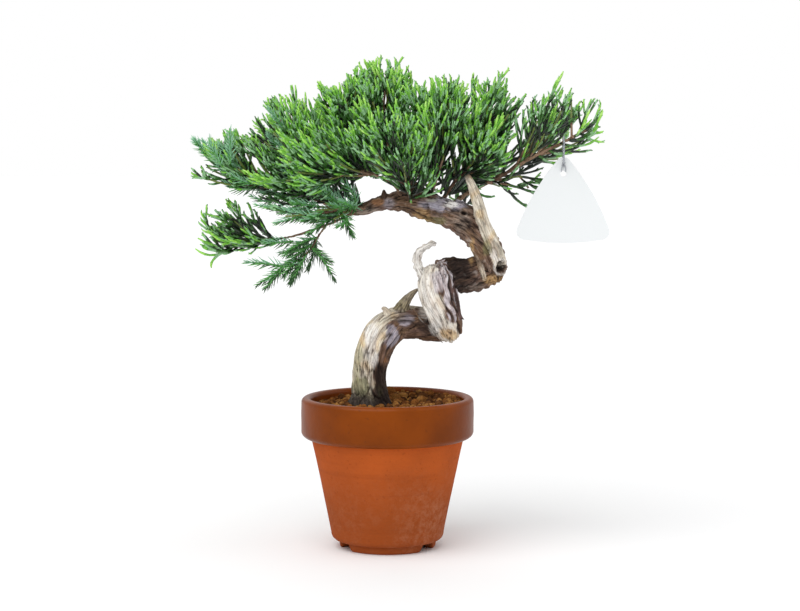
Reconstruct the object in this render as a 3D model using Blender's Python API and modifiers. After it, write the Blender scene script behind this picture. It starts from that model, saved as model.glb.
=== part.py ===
"""Juniper bonsai in a terracotta training pot, with a blank hang tag on a wire.

Units are metres, +Z is up and the pot stands on z = 0. Shapes are written in millimetres from the
pot's own axis, and the whole object is then carried by one empty, so that the middle of its outline
stands over the world's origin.
"""
from math import acos, cos, pi, sin, sqrt, tau
from random import Random

import bmesh
import bpy
from mathutils import Matrix, Quaternion, Vector

MM = 0.001
GAP = 0.3
OBJECT_NAME = "juniper_bonsai"

# The pot's axis, seen from the middle of the whole outline
POT_AXIS = (-10.6, -15.3)

# Pot
RIM_RADIUS = 65.0
RIM_WALL = 7.5
POT_HEIGHT = 114.2
LIP_DROP = 3.4
BAND_FOOT = 88.1
BODY_TOP = (57.6, 82.9)
BODY_FOOT = (42.8, 11.6)
UNDERSIDE = 6.0
HEEL_RADIUS = 38.5
FOOT_OUTER = 36.0
FOOT_INNER = 29.5
DRAIN_RADIUS = 6.5
FLOOR_TOP = 13.5
INNER_FLOOR_RADIUS = 35.5
INNER_WAIST = (50.8, 80.0)
POT_SEGMENTS = 32
NOTCH_COUNT = 3
NOTCH_WIDTH = 11.0
NOTCH_SLOPE = 4.0
NOTCH_TURN = -33.0

# Soil
SOIL_TOP = 107.6
SOIL_SEGMENTS = 24
MOUND_HEIGHT = 5.0
SEAT_RADIUS = 33.0
MOUND_RUN = 12.0
LUMP_COUNT = 10
LUMPS_ON_LEFT = 4
LUMP_SIZE = (4.2, 6.4)
LUMP_SEED = 11

# Hang tag: a rounded triangle that hangs from a loop of wire over the right bough
TAG_MIDDLE_X = 130.6
TAG_Y = -13.0
TAG_TOP = 294.4
TAG_FOOT = 233.2
TAG_HALF_WIDTH = 34.6
TAG_CORNER = 6.0
TAG_CORNER_STEPS = 4
TAG_CROWN = 2.4
TAG_THICKNESS = 0.8
TAG_HOLE_RADIUS = 2.2
TAG_HOLE_DROP = 12.0
TAG_ROOM = 4.0
WIRE_RADIUS = 0.5
WIRE_BOUGH_STATION = 4
WIRE_EYE_RADIUS = 2.2
WIRE_WRAP = 1.32
WIRE_ARC_STEPS = 6

# Trunk: (x, y, z, radius) stations, from the flat cut on the soil to the tip of the top limb
TRUNK = {
    "trunk_lower": [
        (-13.7, 0, SOIL_TOP + GAP, 17.2), (-13.7, 0, 114.0, 14.4), (-13.7, 0, 124.0, 12.9),
        (-12.9, 0, 136.5, 12.9), (-10.0, 0, 149.6, 13.9), (-3.4, 2, 161.4, 15.0),
        (7.4, 5, 169.3, 13.3), (20.6, 8, 169.6, 12.2), (32.0, 7, 167.6, 12.2), (42.0, 2, 167.4, 12.0),
    ],
    "trunk_twist": [
        (47.0, 0, 160.6, 7.4), (45.4, -4, 166.0, 10.8), (41.9, -8, 178.1, 12.9),
        (37.6, -9, 192.0, 13.8), (36.8, -7, 203.0, 13.2), (37.6, -5, 212.4, 7.6),
    ],
    "trunk_elbow": [
        (38.0, -1, 204.0, 12.4), (50.6, 3, 205.2, 13.0), (64.9, 5, 206.6, 13.2),
        (77.0, 4, 208.6, 11.6), (87.0, 3, 205.4, 4.6),
    ],
    "trunk_upper": [
        (80.6, 2, 206.0, 8.0), (78.2, 2, 213.0, 10.9), (75.6, 0, 223.6, 11.3),
        (68.6, -2, 235.1, 11.3), (59.2, -3, 245.4, 11.6), (46.4, -2, 252.8, 11.3),
    ],
    "trunk_top_limb": [
        (51.4, -2, 250.4, 4.0), (46.6, -2, 252.8, 9.8), (37.0, -1, 256.0, 10.7),
        (28.1, 0, 258.4, 10.1), (9.4, 2, 261.2, 7.4), (-7.1, 3, 259.1, 5.4),
        (-22.1, 3, 254.3, 4.3), (-37.0, 3, 256.6, 3.6), (-50.0, 4, 263.0, 2.9),
    ],
}
TRUNK_CUTS = {
    "trunk_lower": ["trunk_twist"],
    "trunk_elbow": ["trunk_twist"],
    "trunk_upper": ["trunk_elbow"],
    "trunk_top_limb": ["trunk_upper"],
}

# Deadwood stubs
DEADWOOD = {
    "deadwood_spike": [
        (83.0, -3, 215.0, 6.8), (79.0, -8, 229.0, 6.0), (72.6, -12, 244.0, 5.2),
        (65.8, -13, 265.9, 4.3), (59.2, -12, 281.6, 2.2),
    ],
    "deadwood_stub_white": [
        (27.0, -6, 205.0, 4.2), (22.6, -7, 215.4, 3.5), (23.0, -8, 222.6, 3.1), (28.6, -8, 227.6, 2.7),
        (35.8, -8, 230.9, 2.0),
    ],
    "deadwood_stub_lower": [
        (7.0, 3, 173.0, 7.0), (12.4, 1, 184.0, 4.8), (17.6, 0, 191.0, 2.9), (23.2, -1, 195.6, 1.0),
    ],
}
DEADWOOD_CUTS = {
    "deadwood_spike": ["trunk_elbow", "trunk_upper"],
    "deadwood_stub_white": ["trunk_twist", "trunk_elbow"],
    "deadwood_stub_lower": ["trunk_lower"],
}

# Boughs: the limbs that they grow out of, and stations from inside those to where they enter a mass
BOUGHS = {
    "bough_right": (["trunk_top_limb", "trunk_upper"], [
        (44.0, 2, 255.0, 4.4), (60.0, 8, 267.0, 3.7), (86.0, 5, 280.4, 3.1), (107.0, -3, 293.6, 2.7),
        (TAG_MIDDLE_X, TAG_Y, 305.6, 2.3), (138.0, -17, 310.0, 2.1)]),
    "bough_right_low": (["bough_right"], [
        (72.0, 7, 272.8, 2.2), (80.0, 11, 278.6, 1.9), (88.0, 13, 282.6, 1.7)]),
    "bough_right_behind": (["bough_right"], [
        (98.0, 0, 288.0, 2.4), (104.0, 17, 294.0, 2.1), (109.0, 30, 298.0, 1.9)]),
    "bough_crown_right": (["trunk_top_limb"], [
        (38.0, 2, 257.0, 3.6), (54.0, 9, 281.0, 2.9), (67.0, 10, 300.0, 2.3)]),
    "bough_crown_inner": (["bough_crown_right"], [
        (50.0, 7, 275.0, 2.2), (57.5, 1, 282.0, 2.0), (61.0, -4, 286.0, 1.8)]),
    "bough_crown_mid": (["trunk_top_limb"], [
        (30.0, -1, 258.0, 3.4), (37.0, -6, 280.0, 2.7), (42.0, -6, 296.0, 2.2)]),
    "bough_crown_peak": (["trunk_top_limb"], [
        (18.0, 1, 259.6, 3.6), (7.0, 4, 284.0, 2.9), (0.0, 5, 306.0, 2.3)]),
    "bough_crown_left": (["bough_crown_peak"], [
        (8.0, 3.6, 281.5, 2.4), (-8.0, 3, 289.5, 2.3), (-24.0, 1, 300.0, 2.1)]),
    "bough_crown_front": (["trunk_top_limb"], [
        (18.0, 0, 259.8, 3.0), (15.0, -20, 272.0, 2.4), (10.0, -30, 283.0, 2.0)]),
    "bough_over_left": (["trunk_top_limb"], [
        (12.0, 2, 260.8, 2.6), (4.0, -8, 274.0, 2.1), (-18.0, -16, 284.6, 1.8), (-33.0, -24, 284.6, 1.6)]),
    "bough_left_mid": (["trunk_top_limb"], [
        (-40.0, 3, 258.0, 2.9), (-53.0, 9, 279.0, 2.4), (-61.0, 10, 294.0, 2.0)]),
    "bough_far_left": (["trunk_top_limb"], [
        (-30.0, 3, 255.0, 2.9), (-54.0, -5, 262.6, 2.4), (-76.0, -4, 269.6, 2.1), (-95.0, -1, 272.0, 1.8)]),
    "bough_low_left": (["trunk_top_limb"], [
        (-22.0, 3, 254.3, 2.6), (-40.0, -5, 246.0, 2.2), (-70.0, -4, 235.6, 1.8), (-87.0, 0, 233.0, 1.5)]),
    "bough_hanging": (["bough_low_left"], [
        (-46.0, -5, 243.2, 1.8), (-52.0, -7, 235.0, 1.6), (-56.0, -8, 228.0, 1.4)]),
    "bough_low_front": (["trunk_top_limb"], [
        (-16.0, 3, 256.0, 2.4), (-26.0, -16, 257.0, 2.0), (-34.0, -25, 256.0, 1.7)]),
    "bough_back_left": (["trunk_top_limb"], [
        (-32.0, 3, 255.2, 2.9), (-50.0, 28, 271.0, 2.4), (-64.0, 40, 284.0, 2.0)]),
    "bough_back_centre_left": (["bough_back_centre"], [
        (27.0, 31, 278.4, 2.2), (6.0, 41, 286.0, 2.1), (-20.0, 44, 290.0, 2.0)]),
    "bough_back_centre": (["trunk_top_limb"], [
        (24.0, 0, 259.0, 3.2), (27.0, 32, 279.0, 2.5), (28.0, 46, 292.0, 2.1)]),
    "bough_back_right": (["trunk_top_limb", "trunk_upper"], [
        (54.0, -2, 248.4, 3.2), (60.0, 27, 265.0, 2.5), (68.0, 44, 286.0, 2.1)]),
}

# Masses of foliage: bough or limb that carries it, centre, reach to each side, twigs, lift of the twigs
MASSES = {
    "foliage_far_left": ("bough_far_left", (-117, 0, 290), (30, 31, 27), 10, 0.5),
    "foliage_left_mid": ("bough_left_mid", (-74, 10, 313), (32, 32, 33), 12, 0.6),
    "foliage_left_front": ("bough_over_left", (-54, -34, 286), (34, 26, 30), 11, 0.4),
    "foliage_low_left": ("bough_low_left", (-111, 1, 241), (37, 27, 27), 10, 0.2),
    "foliage_hanging": ("bough_hanging", (-68, -7, 220), (32, 22, 23), 8, -0.6),
    "foliage_low_front": ("bough_low_front", (-52, -36, 252), (35, 24, 19), 8, 0.0),
    "foliage_crown_left": ("bough_crown_left", (-31, 0, 328), (28, 33, 33), 11, 0.7),
    "foliage_crown_peak": ("bough_crown_peak", (-1, 6, 336), (28, 34, 36), 12, 0.8),
    "foliage_crown_front": ("bough_crown_front", (3, -38, 298), (35, 29, 30), 11, 0.4),
    "foliage_crown_mid": ("bough_crown_mid", (40, -10, 322), (29, 35, 33), 11, 0.7),
    "foliage_crown_right": ("bough_crown_right", (74, 8, 324), (27, 34, 31), 10, 0.7),
    "foliage_crown_inner": ("bough_crown_inner", (66, -14, 292), (26, 22, 22), 7, 0.3),
    "foliage_right": ("bough_right", (127, -4, 317), (34, 37, 34), 13, 0.5),
    "foliage_right_low": ("bough_right_low", (100, 13, 275), (28, 22, 22), 8, -0.3),
    "foliage_right_behind": ("bough_right_behind", (112, 46, 304), (34, 32, 30), 10, 0.5),
    "foliage_back_left": ("bough_back_left", (-82, 54, 296), (36, 34, 32), 10, 0.5),
    "foliage_back_centre_left": ("bough_back_centre_left", (-28, 60, 308), (35, 34, 34), 10, 0.6),
    "foliage_back_centre": ("bough_back_centre", (28, 62, 310), (34, 34, 35), 10, 0.6),
    "foliage_back_right": ("bough_back_right", (72, 62, 302), (30, 34, 31), 10, 0.5),
    "foliage_limb_tip": ("trunk_top_limb", (-60, 0, 272), (17, 20, 15), 4, 0.3),
}
LEAF_PLACES = (0.33, 0.63)
LEAF_TRIES = 8
LEAF_FULL_TRIES = 5
LEAF_SHORTER = 0.7
LEAF_SAMPLES = (0.3, 0.6, 0.9)
LEAF_LENGTH = (22.0, 29.0)
LEAF_HALF_WIDTH = 4.4
LEAF_HALF_THICKNESS = 1.9
LEAF_SINK = 0.9
LEAF_ANGLE = 0.72
LEAF_ROOM = 4.6
TWIG_RADIUS = 1.2
TWIG_SWELL = (0.8, 1.1, 2.4, 0.3)
TWIG_REACH = (0.92, 0.98)
TWIG_ROOTS = (0.3, 0.95)
STEM_SIDES = 5
STEM_PARTS = 3
STEM_PAST_CENTRE = 0.35
STEM_BOW = 0.45
STEM_END_RADIUS = 1.8
SPACE_MARGIN = 2.6
LIMB_MARGIN = 1.2
GOLDEN_TURN = pi * (3 - sqrt(5))


def new_collection(name):
    collection = bpy.data.collections.new(name)
    bpy.context.scene.collection.children.link(collection)
    return collection


def make_material(name, colour, roughness, metallic=0.0):
    material = bpy.data.materials.new(name)
    material.use_nodes = True
    shader = material.node_tree.nodes["Principled BSDF"]
    shader.inputs["Base Color"].default_value = (*colour, 1.0)
    shader.inputs["Roughness"].default_value = roughness
    shader.inputs["Metallic"].default_value = metallic
    material.diffuse_color = (*colour, 1.0)
    return material


def add_object(name, mesh, collection, parent, material=None):
    piece = bpy.data.objects.new(name, mesh)
    collection.objects.link(piece)
    piece.parent = parent
    if material:
        mesh.materials.clear()
        mesh.materials.append(material)
    return piece


def mesh_from(name, bm, smooth=False):
    mesh = bpy.data.meshes.new(name)
    bmesh.ops.recalc_face_normals(bm, faces=bm.faces)
    bm.to_mesh(mesh)
    bm.free()
    if smooth:
        mesh.shade_smooth()
        mesh.set_sharp_from_angle(angle=0.7)
    return mesh


def evaluated_mesh(piece):
    bpy.context.view_layer.update()
    graph = bpy.context.evaluated_depsgraph_get()
    return bpy.data.meshes.new_from_object(piece.evaluated_get(graph))


def smooth_run(stations, steps=2):
    """(point, radius) pairs in metres on a smooth curve through stations that are in millimetres."""
    knots = [Vector(station) * MM for station in stations]
    ends = [2 * knots[0] - knots[1], *knots, 2 * knots[-1] - knots[-2]]
    run = []
    for a, b, c, d in zip(ends, ends[1:], ends[2:], ends[3:]):
        for step in range(steps):
            t = step / steps
            run.append(0.5 * (2 * b + (c - a) * t + (2 * a - 5 * b + 4 * c - d) * t**2
                              + (3 * b - a - 3 * c + d) * t**3))
    run.append(knots[-1])
    return [(point.xyz, point.w) for point in run]


def grown(run, extra):
    """A run that is longer at both ends and thicker all along by so many millimetres."""
    points = [point for point, _ in run]
    points[0] = points[0] + (points[0] - points[1]).normalized() * extra * MM
    points[-1] = points[-1] + (points[-1] - points[-2]).normalized() * extra * MM
    return [(point, radius + extra * MM) for point, (_, radius) in zip(points, run)]


def tube(name, run, collection, parent, material=None, resolution=2, cyclic=False):
    """A round bar along a run, made as a bevelled curve and kept as a mesh with welded caps."""
    curve = bpy.data.curves.new(name, "CURVE")
    curve.dimensions = "3D"
    curve.bevel_depth = MM
    curve.bevel_resolution = resolution
    curve.use_fill_caps = not cyclic
    spline = curve.splines.new("POLY")
    spline.points.add(len(run) - 1)
    spline.use_cyclic_u = cyclic
    for point, (place, radius) in zip(spline.points, run):
        point.co = (*place, 1.0)
        point.radius = radius / MM
    guide = bpy.data.objects.new(name + "_guide", curve)
    collection.objects.link(guide)
    mesh = evaluated_mesh(guide)
    bpy.data.objects.remove(guide)
    bpy.data.curves.remove(curve)
    bm = bmesh.new()
    bm.from_mesh(mesh)
    bmesh.ops.remove_doubles(bm, verts=bm.verts, dist=0.01 * MM)
    bpy.data.meshes.remove(mesh)
    return add_object(name, mesh_from(name, bm, smooth=True), collection, parent, material)


def cut(piece, cutter):
    boolean = piece.modifiers.new("clear of " + cutter.name, "BOOLEAN")
    boolean.operation = "DIFFERENCE"
    boolean.solver = "EXACT"
    boolean.object = cutter
    return boolean


def as_cutter(piece):
    piece.hide_render = True
    piece.display_type = "WIRE"
    return piece


def arc(centre, radii, start, end, steps):
    """Points on an ellipse arc, angles in turns, for a turned profile."""
    return [
        (centre[0] + radii[0] * cos(tau * (start + (end - start) * i / steps)),
         centre[1] + radii[1] * sin(tau * (start + (end - start) * i / steps)))
        for i in range(steps + 1)
    ]


def turned(name, profile, segments, collection, parent, material):
    """A closed profile of (radius, height) in millimetres, turned about the pot's axis."""
    bm = bmesh.new()
    corners = [bm.verts.new((radius * MM, 0, height * MM)) for radius, height in profile]
    for a, b in zip(corners, corners[1:] + corners[:1]):
        bm.edges.new((a, b))
    mesh = bpy.data.meshes.new(name)
    bm.to_mesh(mesh)
    bm.free()
    piece = add_object(name, mesh, collection, parent, material)
    screw = piece.modifiers.new("turned", "SCREW")
    screw.axis = "Z"
    screw.angle = tau
    screw.steps = segments
    screw.render_steps = segments
    screw.use_merge_vertices = True
    screw.merge_threshold = 0.00005
    screw.use_smooth_shade = True
    return piece


def pot_profile():
    """The pot's section: down its outer side from the lip, under its foot and up its inside."""
    rim_inner = RIM_RADIUS - RIM_WALL
    lip_middle = (RIM_RADIUS + rim_inner) / 2
    band_drop = BAND_FOOT - BODY_TOP[1]
    band_step = RIM_RADIUS - BODY_TOP[0] - 0.6
    lip = arc((lip_middle, POT_HEIGHT - LIP_DROP), (RIM_WALL / 2, LIP_DROP), 0.5, 0.0, 5)
    shoulder = arc((RIM_RADIUS - band_step, BAND_FOOT), (band_step, band_drop), 0.0, -0.25, 3)
    heel = arc((HEEL_RADIUS, BODY_FOOT[1]), (BODY_FOOT[0] - HEEL_RADIUS, BODY_FOOT[1] - UNDERSIDE),
               0.0, -0.25, 2)
    foot = [(FOOT_OUTER + 0.8, UNDERSIDE), (FOOT_OUTER, 0.0), (FOOT_INNER, 0.0),
            (FOOT_INNER - 0.8, UNDERSIDE)]
    inside = [(DRAIN_RADIUS, UNDERSIDE), (DRAIN_RADIUS, FLOOR_TOP), (INNER_FLOOR_RADIUS - 3, FLOOR_TOP),
              (INNER_FLOOR_RADIUS, FLOOR_TOP + 3), INNER_WAIST, (rim_inner - 0.3, BAND_FOOT + 6)]
    return lip + shoulder + [BODY_TOP] + heel + foot + inside


def make_pot(parts, cutters, parent, material):
    pot = turned("pot", pot_profile(), POT_SEGMENTS, parts, parent, material)
    for i in range(NOTCH_COUNT):
        bm = bmesh.new()
        bmesh.ops.create_cube(bm, size=1.0)
        depth = FOOT_OUTER - FOOT_INNER + 8
        for corner in bm.verts:
            low = corner.co.z < 0
            width = NOTCH_WIDTH + (2 * NOTCH_SLOPE if low else 0)
            corner.co.x *= depth
            corner.co.y *= width
            corner.co.z = -2.0 if low else UNDERSIDE - 0.4
            corner.co.x += (FOOT_OUTER + FOOT_INNER) / 2
        bmesh.ops.scale(bm, vec=(MM, MM, MM), verts=bm.verts)
        turn = tau * i / NOTCH_COUNT + tau * NOTCH_TURN / 360
        bmesh.ops.rotate(bm, matrix=Matrix.Rotation(turn, 3, "Z"), verts=bm.verts)
        name = f"foot_notch_{i + 1}"
        cut(pot, as_cutter(add_object(name, mesh_from(name, bm), cutters, parent)))
    return pot


def mound(x, y):
    """How far the soil stands over its level, in millimetres: flat round the trunk, higher on the right."""
    rise = min(max((Vector((x, y)).length - SEAT_RADIUS) / MOUND_RUN, 0.0), 1.0)
    slope = 0.45 + 0.55 * (x * 0.9 + y * 0.45) / RIM_RADIUS
    return MOUND_HEIGHT * rise * slope - 1.6 * rise


def make_soil(parts, cutters, parent, material):
    """The filled inside of the pot, with its largest lumps fused on."""
    wall = RIM_RADIUS - RIM_WALL - GAP - 0.4
    bm = bmesh.new()
    slope = (wall - INNER_WAIST[0]) / (BAND_FOOT + 6 - INNER_WAIST[1])
    profile = [(0.0, SOIL_TOP), (SEAT_RADIUS / 2, SOIL_TOP), (SEAT_RADIUS, SOIL_TOP),
               (SEAT_RADIUS + MOUND_RUN, SOIL_TOP),
               (wall - 1.2, SOIL_TOP - 1.5), (wall - 0.4, BAND_FOOT + 6),
               (INNER_WAIST[0] - GAP - slope, INNER_WAIST[1]),
               (INNER_FLOOR_RADIUS - 0.6, FLOOR_TOP + 3.2), (INNER_FLOOR_RADIUS - 3.4, FLOOR_TOP + 0.5),
               (0.0, FLOOR_TOP + 0.5)]
    corners = [bm.verts.new((radius * MM, 0, height * MM)) for radius, height in profile]
    edges = [bm.edges.new(pair) for pair in zip(corners, corners[1:])]
    bmesh.ops.spin(bm, geom=corners + edges, axis=(0, 0, 1), cent=(0, 0, 0), angle=tau,
                   steps=SOIL_SEGMENTS, use_merge=True)
    bmesh.ops.remove_doubles(bm, verts=bm.verts, dist=0.02 * MM)
    for corner in bm.verts:
        if corner.co.z > (SOIL_TOP - 2) * MM:
            corner.co.z += mound(corner.co.x / MM, corner.co.y / MM) * MM
    soil = add_object("soil", mesh_from("soil", bm, smooth=True), parts, parent, material)
    rng = Random(LUMP_SEED)
    lumps = new_collection("soil lumps")
    for i in range(LUMP_COUNT):
        size = rng.uniform(*LUMP_SIZE)
        on_right = i < LUMP_COUNT - LUMPS_ON_LEFT
        angle = tau * (rng.uniform(-0.14, 0.3) if on_right else rng.uniform(0.35, 0.8))
        reach = rng.uniform(SEAT_RADIUS - 6 if on_right else SEAT_RADIUS + 8, wall - size - 3)
        spot = Vector((reach * cos(angle), reach * sin(angle)))
        bm = bmesh.new()
        bmesh.ops.create_icosphere(bm, subdivisions=1, radius=size)
        for corner in bm.verts:
            corner.co *= rng.uniform(0.85, 1.15)
            corner.co.z *= 0.8
        height = SOIL_TOP + mound(*spot) + 0.25 * size
        bmesh.ops.translate(bm, vec=(*spot, height), verts=bm.verts)
        bmesh.ops.scale(bm, vec=(MM, MM, MM), verts=bm.verts)
        add_object(f"lump_{i + 1}", mesh_from(f"lump_{i + 1}", bm), lumps, parent)
    return fuse(soil, lumps)


def fuse(piece, collection):
    """Joins a collection's shapes to a piece, keeps the one body that results and drops the rest."""
    boolean = piece.modifiers.new("joined", "BOOLEAN")
    boolean.operation = "UNION"
    boolean.operand_type = "COLLECTION"
    boolean.collection = collection
    for solver in ("EXACT", "MANIFOLD"):
        boolean.solver = solver
        joined = evaluated_mesh(piece)
        bm = bmesh.new()
        bm.from_mesh(joined)
        bpy.data.meshes.remove(joined)
        bmesh.ops.triangulate(bm, faces=bm.faces)
        if all(edge.is_manifold for edge in bm.edges):
            break
        bm.free()
    piece.modifiers.remove(boolean)
    for helper in list(collection.objects):
        bpy.data.objects.remove(helper)
    bpy.data.collections.remove(collection)
    shells = connected_shells(bm)
    keep = max(shells, key=shell_volume)
    for shell in shells:
        if shell is not keep:
            bmesh.ops.delete(bm, geom=shell, context="FACES")
    bm.to_mesh(piece.data)
    bm.free()
    return piece


def connected_shells(bm):
    left = set(bm.faces)
    shells = []
    while left:
        shell = [left.pop()]
        for face in shell:
            for edge in face.edges:
                for other in edge.link_faces:
                    if other in left:
                        left.remove(other)
                        shell.append(other)
        shells.append(shell)
    return shells


def shell_volume(faces):
    """The signed volume inside a shell of triangles: negative where it bounds a sealed hollow."""
    return sum(a.dot(b.cross(c)) for a, b, c in ([v.co for v in face.verts] for face in faces)) / 6


class Spaces:
    """Which mass a point belongs to, and how near it is to the limbs, stems and wire."""

    def __init__(self, limbs):
        self.reach = {name: (Vector(spec[1]) * MM, Vector(spec[2]) * MM)
                      for name, spec in MASSES.items()}
        self.limbs = limbs

    def depth(self, name, point):
        """Roughly how far a point lies outside a mass's ellipsoid: negative inside it."""
        centre, reach = self.reach[name]
        away = Vector(((point.x - centre.x) / reach.x, (point.y - centre.y) / reach.y,
                       (point.z - centre.z) / reach.z))
        return (away.length - 1) * (reach.x + reach.y + reach.z) / 3

    def holds(self, name, point):
        own = self.depth(name, point)
        if own > 0:
            return False
        return all(self.depth(other, point) > own + SPACE_MARGIN * MM
                   for other in self.reach if other != name)

    def clear_of_limbs(self, name, point, radius):
        return all((point - place).length > thick + radius + LIMB_MARGIN * MM
                   for limb, run in self.limbs.items() if limb != name for place, thick in run)

    def clear_of_tag(self, point):
        return (abs(point.y / MM - TAG_Y) > TAG_ROOM or point.z / MM > TAG_TOP + TAG_ROOM
                or abs(point.x / MM - TAG_MIDDLE_X) > TAG_HALF_WIDTH + TAG_ROOM)

    def free(self, name, points, radius):
        """True where all of a line of points lies in the mass's own space and touches nothing else."""
        line = [a.lerp(b, share / 3) for a, b in zip(points, points[1:]) for share in range(3)]
        return all(self.holds(name, point) and self.clear_of_limbs(name, point, radius)
                   and self.clear_of_tag(point) for point in line + [points[-1]])


def bend(start, end, lift, steps):
    """Points along a twig that sets off flat and turns up, or down where lift is negative."""
    middle = start.lerp(end, 0.55) - Vector((0, 0, lift)) * (end - start).length * 0.25
    points = []
    for i in range(steps + 1):
        t = i / steps
        points.append(start * (1 - t)**2 + middle * 2 * t * (1 - t) + end * t**2)
    return points


def prism(points, radii, sides=3, heading=None):
    """A closed bar of few sides along points, with a radius for each, that may set off on a heading."""
    bm = bmesh.new()
    aim = heading or (points[1] - points[0]).normalized()
    turn = aim.to_track_quat("Z", "Y")
    matrix = Matrix.LocRotScale(points[0], turn, Vector((radii[0],) * 3))
    bmesh.ops.create_circle(bm, cap_ends=True, segments=sides, radius=1.0, matrix=matrix)
    bm.faces.ensure_lookup_table()
    face = bm.faces[0]
    for i in range(1, len(points)):
        nearer, further = points[i - 1], points[min(i + 1, len(points) - 1)]
        onward = (further - nearer).normalized()
        turn = aim.rotation_difference(onward) @ turn
        aim = onward
        target = Matrix.LocRotScale(points[i], turn, Vector((radii[i],) * 3))
        grown = bmesh.ops.extrude_face_region(bm, geom=[face])["geom"]
        if i > 1:
            bmesh.ops.delete(bm, geom=[face], context="FACES_ONLY")
        face = next(item for item in grown if isinstance(item, bmesh.types.BMFace))
        bmesh.ops.transform(bm, matrix=target @ matrix.inverted(), verts=face.verts)
        matrix = target
    return bm


def leaf(root, aim, length, roll):
    """A spray of scale shoots, as one slim blade of eight faces that stands for it."""
    bm = bmesh.new()
    bmesh.ops.create_uvsphere(bm, u_segments=3, v_segments=2, radius=1.0)
    for corner in bm.verts:
        if abs(corner.co.z) < 0.5:
            corner.co.z = -0.3
    size = Vector((LEAF_HALF_WIDTH * MM, LEAF_HALF_THICKNESS * MM, length / 2))
    turn = aim.to_track_quat("Z", "Y") @ Quaternion((0, 0, 1), roll)
    middle = root + aim * (length / 2 - LEAF_SINK * MM)
    bmesh.ops.transform(bm, matrix=Matrix.LocRotScale(middle, turn, size), verts=bm.verts)
    return bm


def spread(index, count):
    """Directions laid evenly round a ball, the lower ones brought up to the sides."""
    height = 1 - 1.62 * (index + 0.5) / count
    flat = sqrt(1 - height * height)
    turn = index * GOLDEN_TURN
    return Vector((flat * cos(turn), flat * sin(turn), height))


def stem_of(name, runs):
    """A mass's stem, on from its bough's tip: its points, its radii and the way that it sets off."""
    carrier, middle, reach, _, _ = MASSES[name]
    (before, _), (tip, thick) = runs[carrier][-2:]
    centre = Vector(middle) * MM
    heading = (tip - before).normalized()
    start = tip + heading * GAP * MM
    end = centre + (centre - start).normalized() * min(reach) * MM * STEM_PAST_CENTRE
    bow = start + heading * (end - start).length * STEM_BOW
    shares = [i / STEM_PARTS for i in range(STEM_PARTS + 1)]
    points = [start * (1 - t)**2 + bow * 2 * t * (1 - t) + end * t**2 for t in shares]
    radii = [thick + (STEM_END_RADIUS * MM - thick) * t for t in shares]
    return points, radii, heading


def grow_mass(name, spaces, runs, parts, parent, material):
    """One mass: a stem on from its bough's tip, twigs to its space's edge and blades along the twigs."""
    _, middle, reach, twigs, lift = MASSES[name]
    rng = Random(name)
    centre, reach = Vector(middle) * MM, Vector(reach) * MM
    stem, widths, heading = stem_of(name, runs)
    bar = prism(stem, widths, STEM_SIDES, heading)
    piece = add_object(name, mesh_from(name, bar), parts, parent, material)
    helpers = new_collection(name + " helpers")
    taken = list(stem)
    count = 0
    for i in range(twigs):
        aim = spread(i, twigs)
        if lift < 0:
            aim.z = -aim.z
        outward = Vector((aim.x * reach.x, aim.y * reach.y, aim.z * reach.z))
        target = centre + outward * rng.uniform(*TWIG_REACH)
        share = rng.uniform(*TWIG_ROOTS) * STEM_PARTS
        slot = min(int(share), STEM_PARTS - 1)
        root = stem[slot].lerp(stem[slot + 1], share - slot)
        path = bend(root, target, lift, 3)
        while len(path) > 2 and not spaces.free(name, path[1:], TWIG_RADIUS * MM):
            path.pop()
        if len(path) < 3:
            continue
        radii = [TWIG_RADIUS * MM * width for width in TWIG_SWELL[4 - len(path):]]
        add_object(f"{name}_twig_{i}", mesh_from(f"{name}_twig_{i}", prism(path, radii)), helpers, parent)
        taken += path[1:]
        for j, place_share in enumerate(LEAF_PLACES):
            along = place_share * (len(path) - 1)
            step = int(along)
            place = path[step].lerp(path[step + 1], along - step)
            onward = (path[step + 1] - path[step]).normalized()
            length = rng.uniform(*LEAF_LENGTH) * MM
            roll = rng.uniform(0, pi)
            for attempt in range(LEAF_TRIES):
                side = onward.orthogonal().normalized()
                side.rotate(Quaternion(onward, GOLDEN_TURN * (7 * i + 3 * j + attempt)))
                way = (onward * cos(LEAF_ANGLE) + side * sin(LEAF_ANGLE)).normalized()
                shorter = 1.0 if attempt < LEAF_FULL_TRIES else LEAF_SHORTER
                ends = [place + way * length * shorter * share for share in LEAF_SAMPLES]
                roomy = all((near - other).length > LEAF_ROOM * MM for near in ends for other in taken)
                if roomy and spaces.free(name, ends, LEAF_HALF_WIDTH * 0.5 * MM):
                    count += 1
                    taken += ends
                    blade = mesh_from(f"{name}_leaf_{count}", leaf(place, way, length * shorter, roll))
                    add_object(blade.name, blade, helpers, parent)
                    break
    return fuse(piece, helpers)


def tag_outline():
    """Points round a triangle with three round corners and slightly crowned sides, as (x, z)."""
    low = TAG_FOOT + TAG_CORNER
    centres = [Vector((0.0, TAG_TOP - TAG_CORNER)), Vector((TAG_CORNER - TAG_HALF_WIDTH, low)),
               Vector((TAG_HALF_WIDTH - TAG_CORNER, low))]
    outline = []
    for i, centre in enumerate(centres):
        before, after = centres[i - 1], centres[(i + 1) % 3]
        arriving, leaving = (centre - before).normalized(), (after - centre).normalized()
        first, last = Vector((arriving.y, -arriving.x)), Vector((leaving.y, -leaving.x))
        swing = acos(first.dot(last))
        across = Vector((-first.y, first.x))
        for step in range(TAG_CORNER_STEPS + 1):
            part = swing * step / TAG_CORNER_STEPS
            outline.append(centre + (first * cos(part) + across * sin(part)) * TAG_CORNER)
        for t in (0.25, 0.5, 0.75):
            outline.append(centre.lerp(after, t) + last * (TAG_CORNER + TAG_CROWN * 4 * t * (1 - t)))
    return outline


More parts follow.
